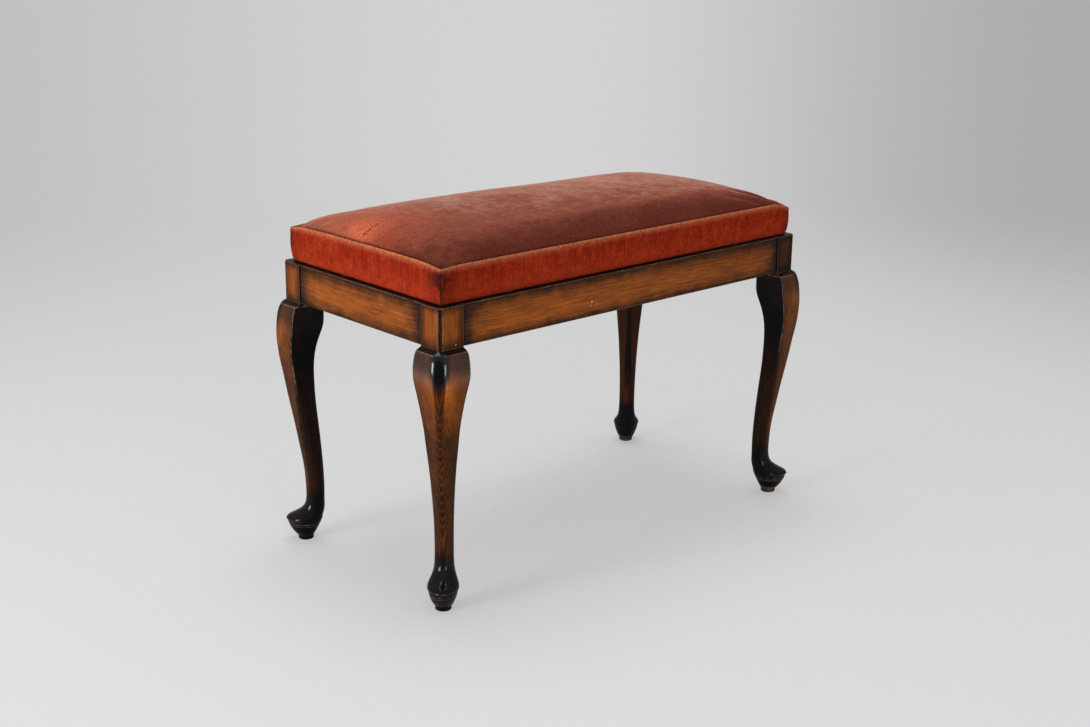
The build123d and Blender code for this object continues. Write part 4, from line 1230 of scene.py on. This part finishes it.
class BenchWood(bpy.types.PropertyGroup):
    """Finish of the stained frame."""

    heart: tint("Heart", "Stain on the lighter grain", (0.44, 0.117, 0.015))
    grain: tint("Grain", "Stain on the darker grain", (0.18, 0.041, 0.006))
    # Painted light: amber on the thighs' front faces and towards the left end of the long rails.
    amber: tint("Amber", "Light stain on the thighs and the long rails", (0.66, 0.175, 0.022))
    deep: tint("Deep", "Deep stain on the lighter grain", (0.086, 0.027, 0.006))
    deep_grain: tint("Deep grain", "Deep stain on the darker grain", (0.016, 0.006, 0.002))
    # Also the colour of the painted shade in the frame's corners.
    toner: tint("Toner", "Dark toner sprayed along the edges", (0.003, 0.003, 0.004))
    # Also the colour of the painted highlights along some edges.
    bare: tint("Bare", "Wood rubbed bare on the arrises", (0.34, 0.22, 0.14))
    chip: tint("Chip", "Fresh chips through the lacquer", (0.75, 0.68, 0.58))
    ring_pitch: metres("Ring pitch", "Distance between growth rings", 0.0022)
    arris_width: metres("Arris width", "Width of the rubbed edges", 0.0014)
    arris_round: metres("Arris round", "Softness of the crisp edges", 0.0010)
    edge_round: metres("Edge round", "Softness of the legs' long edges", 0.0026)
    knee_round: metres("Knee round", "Softness of the edges of the knees", 0.0055)
    edge_spray: metres("Edge spray", "Reach of the toner from the legs' inner edges", 0.0060)
    # Also sets the strength of the painted highlights along some edges.
    arris_wear_and_highlight: factor("Arris wear", "How bare the edges are", 0.45)
    roughness: factor("Roughness", "Roughness of the stained wood", 0.30)
    gloss: factor("Gloss", "Specular level of the stained wood", 0.02)
    lacquer: factor("Lacquer", "Weight of the lacquer coat", 0.16)
    knee_lacquer: factor("Knee lacquer", "Weight of the thick coat on the front left knee", 1.0)
    foot_lacquer: factor("Foot lacquer", "Weight of the coat on the feet", 0.35)
    lacquer_roughness: factor("Lacquer roughness", "Roughness of the lacquer coat", 0.09)
    end_toner: metres("End toner", "Reach of the toner from a rail's ends", 0.046)
    top_toner: metres("Top toner", "Reach of the toner from a rail's top", 0.026)
    bottom_toner: metres("Bottom toner", "Reach of the toner from a rail's bottom", 0.020)
    knee_fade: metres("Knee fade", "Level where the knee's deep stain is full", 0.356)
    nose_fade: metres("Nose fade", "Level where the toner on the knee's outer corner is full", 0.340)
    leg_depth: factor("Leg depth", "Deep stain all over the legs", 0.28)
    post_depth: factor("Post depth", "Deep stain all over the posts", 0.20)
    shin_fade: metres("Shin fade", "Level where the lower leg's deep stain is full", 0.232)
    shin_reach: metres("Shin reach", "Height over which the lower leg's deep stain fades out", 0.125)


class BenchSeat(bpy.types.PropertyGroup):
    """Shape and velvet of the seat."""

    crown_rise: metres("Crown rise", "Height of the crown above its seam before it is stuffed", 0.0262)
    end_lift: metres("End lift", "Rise of the seam at the middle of the left end", 0.003)
    end_drop: metres("End drop", "Sag of the seam at the right end", 0.0018)
    corner_pull: metres("Corner pull", "How far the left corners are pulled down", 0.002)
    right_pull: metres("Right corner pull", "How far the right corners are pulled down", 0.006)
    pull_reach: metres("Pull reach", "Reach of the pull from the corners", 0.018)
    corner_seam: metres("Corner seam", "Depth of the upright seams at the corners", 0.0012)
    pucker: metres("Pucker", "Height of the puckers below the seam", 0.00022)
    cell: metres("Cell", "Size of the cover's cells", 0.006)
    thickness: metres("Thickness", "Thickness of the velvet", 0.0012)
    pressure: FloatProperty(name="Pressure", description="Stuffing pressure", min=0.0, default=4.0)
    stuffing_frames: IntProperty(name="Frames", description="Steps of the stuffing", min=1, default=20)
    swell_limit: metres("Swell limit", "Most that the stuffing may move the crown", 0.005)
    side_limit: metres("Side limit", "Most that the stuffing may move the sides", 0.0012)
    seed: IntProperty(name="Seed", description="Seed of the unevenness", default=11)
    crown: tint("Crown", "Velvet of the top panel", (0.34, 0.093, 0.058))
    # Colour of the painted shade on the crown: on faces turned one way, along the front edge and at the
    # right end.
    crown_dark: tint("Crown shade", "Velvet where the pile is brushed down", (0.125, 0.023, 0.013))
    # Colour of the painted sheen on the crown, also used for the paler back corner.
    crown_sheen: tint("Crown sheen", "Sheen along the pile of the top panel", (0.62, 0.30, 0.21))
    # Painted shade: the direction of the crown faces that are painted darker.
    shade_facing: direction("Nap", "The way that the brushed-down pile faces", (-0.665, -0.721, 0.195))
    patch: tint("Patch", "Rubbed patch near the left end", (0.64, 0.135, 0.068))
    boxing: tint("Sides", "Velvet of the sides", (0.32, 0.024, 0.006))
    boxing_dark: tint("Sides shade", "Darker ribs of the sides", (0.22, 0.013, 0.003))
    boxing_bright: tint("Sides bright", "Brighter pile of the sides", (0.44, 0.045, 0.014))
    worn: tint("Worn edge", "Pile rubbed pale along the seam", (0.60, 0.192, 0.085))
    # Colour of dark marks and corner grime, and of the painted shade along the seam and under the board.
    soil_and_shade: tint("Soil", "Grime in seams and corners", (0.016, 0.006, 0.004))
    sheen: factor("Sheen", "Sheen of the pile", 0.05)
    sheen_tint: tint("Sheen tint", "Colour of the sheen", (1.0, 0.62, 0.46))
    tuft: metres("Tuft", "Size of the pile's tufts", 0.0014)
    rib_pitch: metres("Rib pitch", "Distance between the ribs of the sides", 0.0030)
    patch_spot: point("Patch spot", "Middle of the rubbed patch", (-0.325, 0.024, 0.502))
    # Middle of the back left corner that is painted paler.
    pale_spot: point("Dust spot", "Middle of the dusty back corner", (-0.285, 0.125, 0.510))
    scuff_line: metres("Scuff line", "Place across the seat of the broken scuff at the left end", 0.0125)


class BenchFittings(bpy.types.PropertyGroup):
    """Finish of the hidden wood, felt and metal."""

    softwood: tint("Softwood", "Bare softwood of the cleats and battens", (0.52, 0.33, 0.16))
    softwood_ring: tint("Softwood ring", "Late wood of the softwood", (0.36, 0.19, 0.075))
    veneer: tint("Veneer", "Plywood face", (0.46, 0.29, 0.145))
    veneer_dark: tint("Veneer grain", "Darker grain of the plywood", (0.30, 0.165, 0.075))
    # Also the colour of the painted shade in the corners of the bare wood.
    dirt: tint("Dirt_and_shade", "Old dust and stains", (0.09, 0.06, 0.04))
    brass: tint("Brass", "Bright brass", (0.72, 0.50, 0.22))
    brass_dull: tint("Dull brass", "Tarnished brass", (0.26, 0.16, 0.07))
    steel: tint("Steel", "Blued steel, rubbed", (0.30, 0.29, 0.28))
    steel_dull: tint("Dull steel", "Blued steel, rusted", (0.11, 0.085, 0.065))
    felt: tint("Felt", "Pressed felt", (0.06, 0.05, 0.045))
    felt_dark: tint("Felt shade", "Shade between the felt's fibres", (0.028, 0.023, 0.020))


class BenchStage(bpy.types.PropertyGroup):
    """Floor, lamps and camera."""

    floor_near: tint("Near floor", "Floor in front of the bench", (0.80, 0.80, 0.80))
    floor_far: tint("Far floor", "Floor behind the bench", (0.86, 0.86, 0.865))
    glow: factor("Glow", "How much of the floor's paleness the camera and gloss see in shadow too", 0.45)
    glow_near: tint("Near glow", "Paleness of the floor in front of the bench", (0.83, 0.83, 0.83))
    glow_far: tint("Far glow", "Paleness of the floor behind the bench", (0.66, 0.66, 0.665))
    backdrop: tint("Backdrop", "Backdrop behind the bench", (0.65, 0.65, 0.655))
    backdrop_left: tint("Left backdrop", "Backdrop to the left", (0.50, 0.50, 0.505))
    backdrop_right: tint("Right backdrop", "Backdrop to the right", (0.42, 0.42, 0.43))
    ambient: tint("Ambient", "Even light from all round", (0.44, 0.44, 0.445))
    floor_reach: metres("Floor reach", "Half width of the floor", 5.0)
    left_power: watts("Left lamp", "Power of the left lamp", 58.0)
    front_power: watts("Front lamp", "Power of the front lamp", 25.0)
    top_power: watts("Top lamp", "Power of the top lamp", 28.0)
    left_place: point("Left lamp place", "Where the left lamp stands", (-3.3, 0.2, 0.60))
    front_place: point("Front lamp place", "Where the front lamp stands", (-1.4, -3.2, 0.60))
    top_place: point("Top lamp place", "Where the top lamp hangs", (0.3, 0.6, 3.2))
    lamp_aim: point("Lamp aim", "What the lamps point at", (0.0, 0.0, 0.35))
    lamp_width: metres("Lamp width", "Width of the side lamps", 1.0)
    lamp_height: metres("Lamp height", "Height of the side lamps", 1.0)
    top_size: metres("Top lamp size", "Width of the top lamp", 1.6)
    lens: FloatProperty(name="Lens", description="Focal length", subtype="DISTANCE_CAMERA", default=53.745)
    yaw: angle("Yaw", "Camera's bearing; the floor and backdrop shade by it too", 42.58)
    pitch: angle("Pitch", "Camera's tilt", -16.85)
    roll: angle("Roll", "Camera's roll", 0.72)
    camera_place: point("Camera place", "Where the camera stands", (-1.63717, -1.77384, 0.97923))


class BENCH_OT_stained_frame(bpy.types.Operator):
    """Stain, tone and lacquer the legs and rails"""

    bl_idname = "bench.stained_frame"
    bl_label = "Stained Frame"

    def execute(self, context):
        wood = context.scene.bench_wood
        finishes = (
            ("stained_legs", lay_out_leg, LEG_CHIPS, [f"leg_{corner}" for corner in CORNERS]),
            ("stained_long_rails", lay_out_rail(0), LONG_RAIL_CHIPS, ["rail_front", "rail_back"]),
            ("stained_end_rails", lay_out_rail(1), END_RAIL_CHIPS, ["rail_left", "rail_right"]),
        )
        for name, lay_out, chips, nodes in finishes:
            finish_nodes(stained_wood(name, wood, lay_out, chips), *nodes)
        return {"FINISHED"}


class BENCH_OT_music_well(bpy.types.Operator):
    """Finish the bare wood of the well and the lid"""

    bl_idname = "bench.music_well"
    bl_label = "Music Well"

    def execute(self, context):
        fittings = context.scene.bench_fittings
        long_wood = plain_wood("softwood_long", fittings, 0)
        finish_nodes(long_wood, "cleat_front", "cleat_back", "lid_batten_front", "lid_batten_back")
        short_wood = plain_wood("softwood_short", fittings, 1)
        finish_nodes(short_wood, "cleat_left", "cleat_right", "lid_batten_left", "lid_batten_right")
        for name, plies in (("well_bottom", 3), ("lid_board", 5)):
            low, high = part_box(name)
            board = layered_board(f"plywood_{name}", fittings, low.z, (high.z - low.z) / plies)
            finish_nodes(board, name)
        return {"FINISHED"}


class BENCH_OT_hardware(bpy.types.Operator):
    """Finish the hinges, screws, pins and tacks"""

    bl_idname = "bench.hardware"
    bl_label = "Hardware"

    def execute(self, context):
        fittings = context.scene.bench_fittings
        brass = old_metal("hinge_brass_old", fittings.brass, fittings.brass_dull, 0.30)
        steel = old_metal("fastener_steel_old", fittings.steel, fittings.steel_dull, 0.36)
        for side in ("left", "right"):
            finish_nodes(brass, f"hinge_{side}_frame_leaf", f"hinge_{side}_lid_leaf")
            finish_nodes(steel, f"hinge_{side}_pin")
        finish_nodes(brass, "hinge_screws_frame", "hinge_screws_lid")
        finish_nodes(steel, "cleat_screws", "panel_pins", "cover_tacks")
        return {"FINISHED"}


class BENCH_OT_seat(bpy.types.Operator):
    """Sew, stuff and wear in the velvet seat"""

    bl_idname = "bench.seat"
    bl_label = "Velvet Seat"

    def execute(self, context):
        seat = context.scene.bench_seat
        cover, crown_count, border = build_seat(seat, velvet(seat))
        numbers = np.arange(len(cover.data.vertices))
        limit = np.where(numbers < crown_count, seat.swell_limit, seat.side_limit)
        ring = (numbers - crown_count) // len(border)
        in_sides = (ring >= len(SEAM_RINGS)) & (ring < len(SEAM_RINGS) + len(SIDE_SHARES))
        held = (numbers >= crown_count) & ~in_sides
        held[border] = True
        inflate(cover, numbers[held], limit, seat)
        settle(cover, seat, crown_count)
        thicken(cover, seat.thickness)
        soften(cover)
        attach(cover, "lid")
        boxing = [f"boxing_{side}" for side in SIDES]
        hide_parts("seat_top", "seat_piping", "seat_stuffing", *boxing)
        return {"FINISHED"}


class BENCH_OT_hems(bpy.types.Operator):
    """Turn the velvet's hems under the lid board"""

    bl_idname = "bench.hems"
    bl_label = "Hems"

    def execute(self, context):
        seat = context.scene.bench_seat
        material = bpy.data.materials["seat_velvet"]
        for side in SIDES:
            hem = build_hem(side, seat, material)
            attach(hem, "lid")
            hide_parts(f"hem_{side}")
        return {"FINISHED"}


class BENCH_OT_felt_buttons(bpy.types.Operator):
    """Press the felt buttons that hold the lid off the rails"""

    bl_idname = "bench.felt_buttons"
    bl_label = "Felt Buttons"

    def execute(self, context):
        pads = build_felt_buttons(felt_cloth(context.scene.bench_fittings))
        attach(pads, "lid")
        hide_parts("felt_buttons")
        return {"FINISHED"}


class BENCH_OT_stage(bpy.types.Operator):
    """Lay the floor, hang the lamps and set up the camera"""

    bl_idname = "bench.stage"
    bl_label = "Studio Stage"

    def execute(self, context):
        stage = context.scene.bench_stage
        build_floor(stage)
        light_world(stage)
        side_size = stage.lamp_width, stage.lamp_height
        top_size = stage.top_size, stage.top_size
        add_lamp("left_lamp", stage.left_place, stage.lamp_aim, stage.left_power, side_size)
        add_lamp("front_lamp", stage.front_place, stage.lamp_aim, stage.front_power, side_size)
        add_lamp("top_lamp", stage.top_place, stage.lamp_aim, stage.top_power, top_size)
        add_camera(stage)
        context.scene.view_settings.view_transform = "Standard"
        return {"FINISHED"}


class BENCH_PT_builder(bpy.types.Panel):
    """Lists the steps that finish the bench."""

    bl_idname = "BENCH_PT_builder"
    bl_label = "Piano Bench"
    bl_space_type = "VIEW_3D"
    bl_region_type = "UI"
    bl_category = "Bench"

    def draw(self, context):
        for operator in OPERATORS:
            self.layout.operator(operator.bl_idname)


SETTINGS = (
    ("bench_wood", BenchWood),
    ("bench_seat", BenchSeat),
    ("bench_fittings", BenchFittings),
    ("bench_stage", BenchStage),
)
OPERATORS = (
    BENCH_OT_stained_frame,
    BENCH_OT_music_well,
    BENCH_OT_hardware,
    BENCH_OT_seat,
    BENCH_OT_hems,
    BENCH_OT_felt_buttons,
    BENCH_OT_stage,
)


def register():
    """Registers the settings, the steps and the panel."""
    for name, kind in SETTINGS:
        bpy.utils.register_class(kind)
        setattr(bpy.types.Scene, name, PointerProperty(type=kind))
    for kind in (*OPERATORS, BENCH_PT_builder):
        bpy.utils.register_class(kind)


def unregister():
    """Takes them away again."""
    for kind in (BENCH_PT_builder, *reversed(OPERATORS)):
        bpy.utils.unregister_class(kind)
    for name, kind in reversed(SETTINGS):
        delattr(bpy.types.Scene, name)
        bpy.utils.unregister_class(kind)


def main():
    """Finishes the bench step by step."""
    register()
    for make_effect in SHARED_EFFECTS:
        make_effect()
    bpy.ops.bench.stained_frame()
    bpy.ops.bench.music_well()
    bpy.ops.bench.hardware()
    bpy.ops.bench.seat()
    bpy.ops.bench.hems()
    bpy.ops.bench.felt_buttons()
    bpy.ops.bench.stage()


if __name__ == "__main__":
    main()
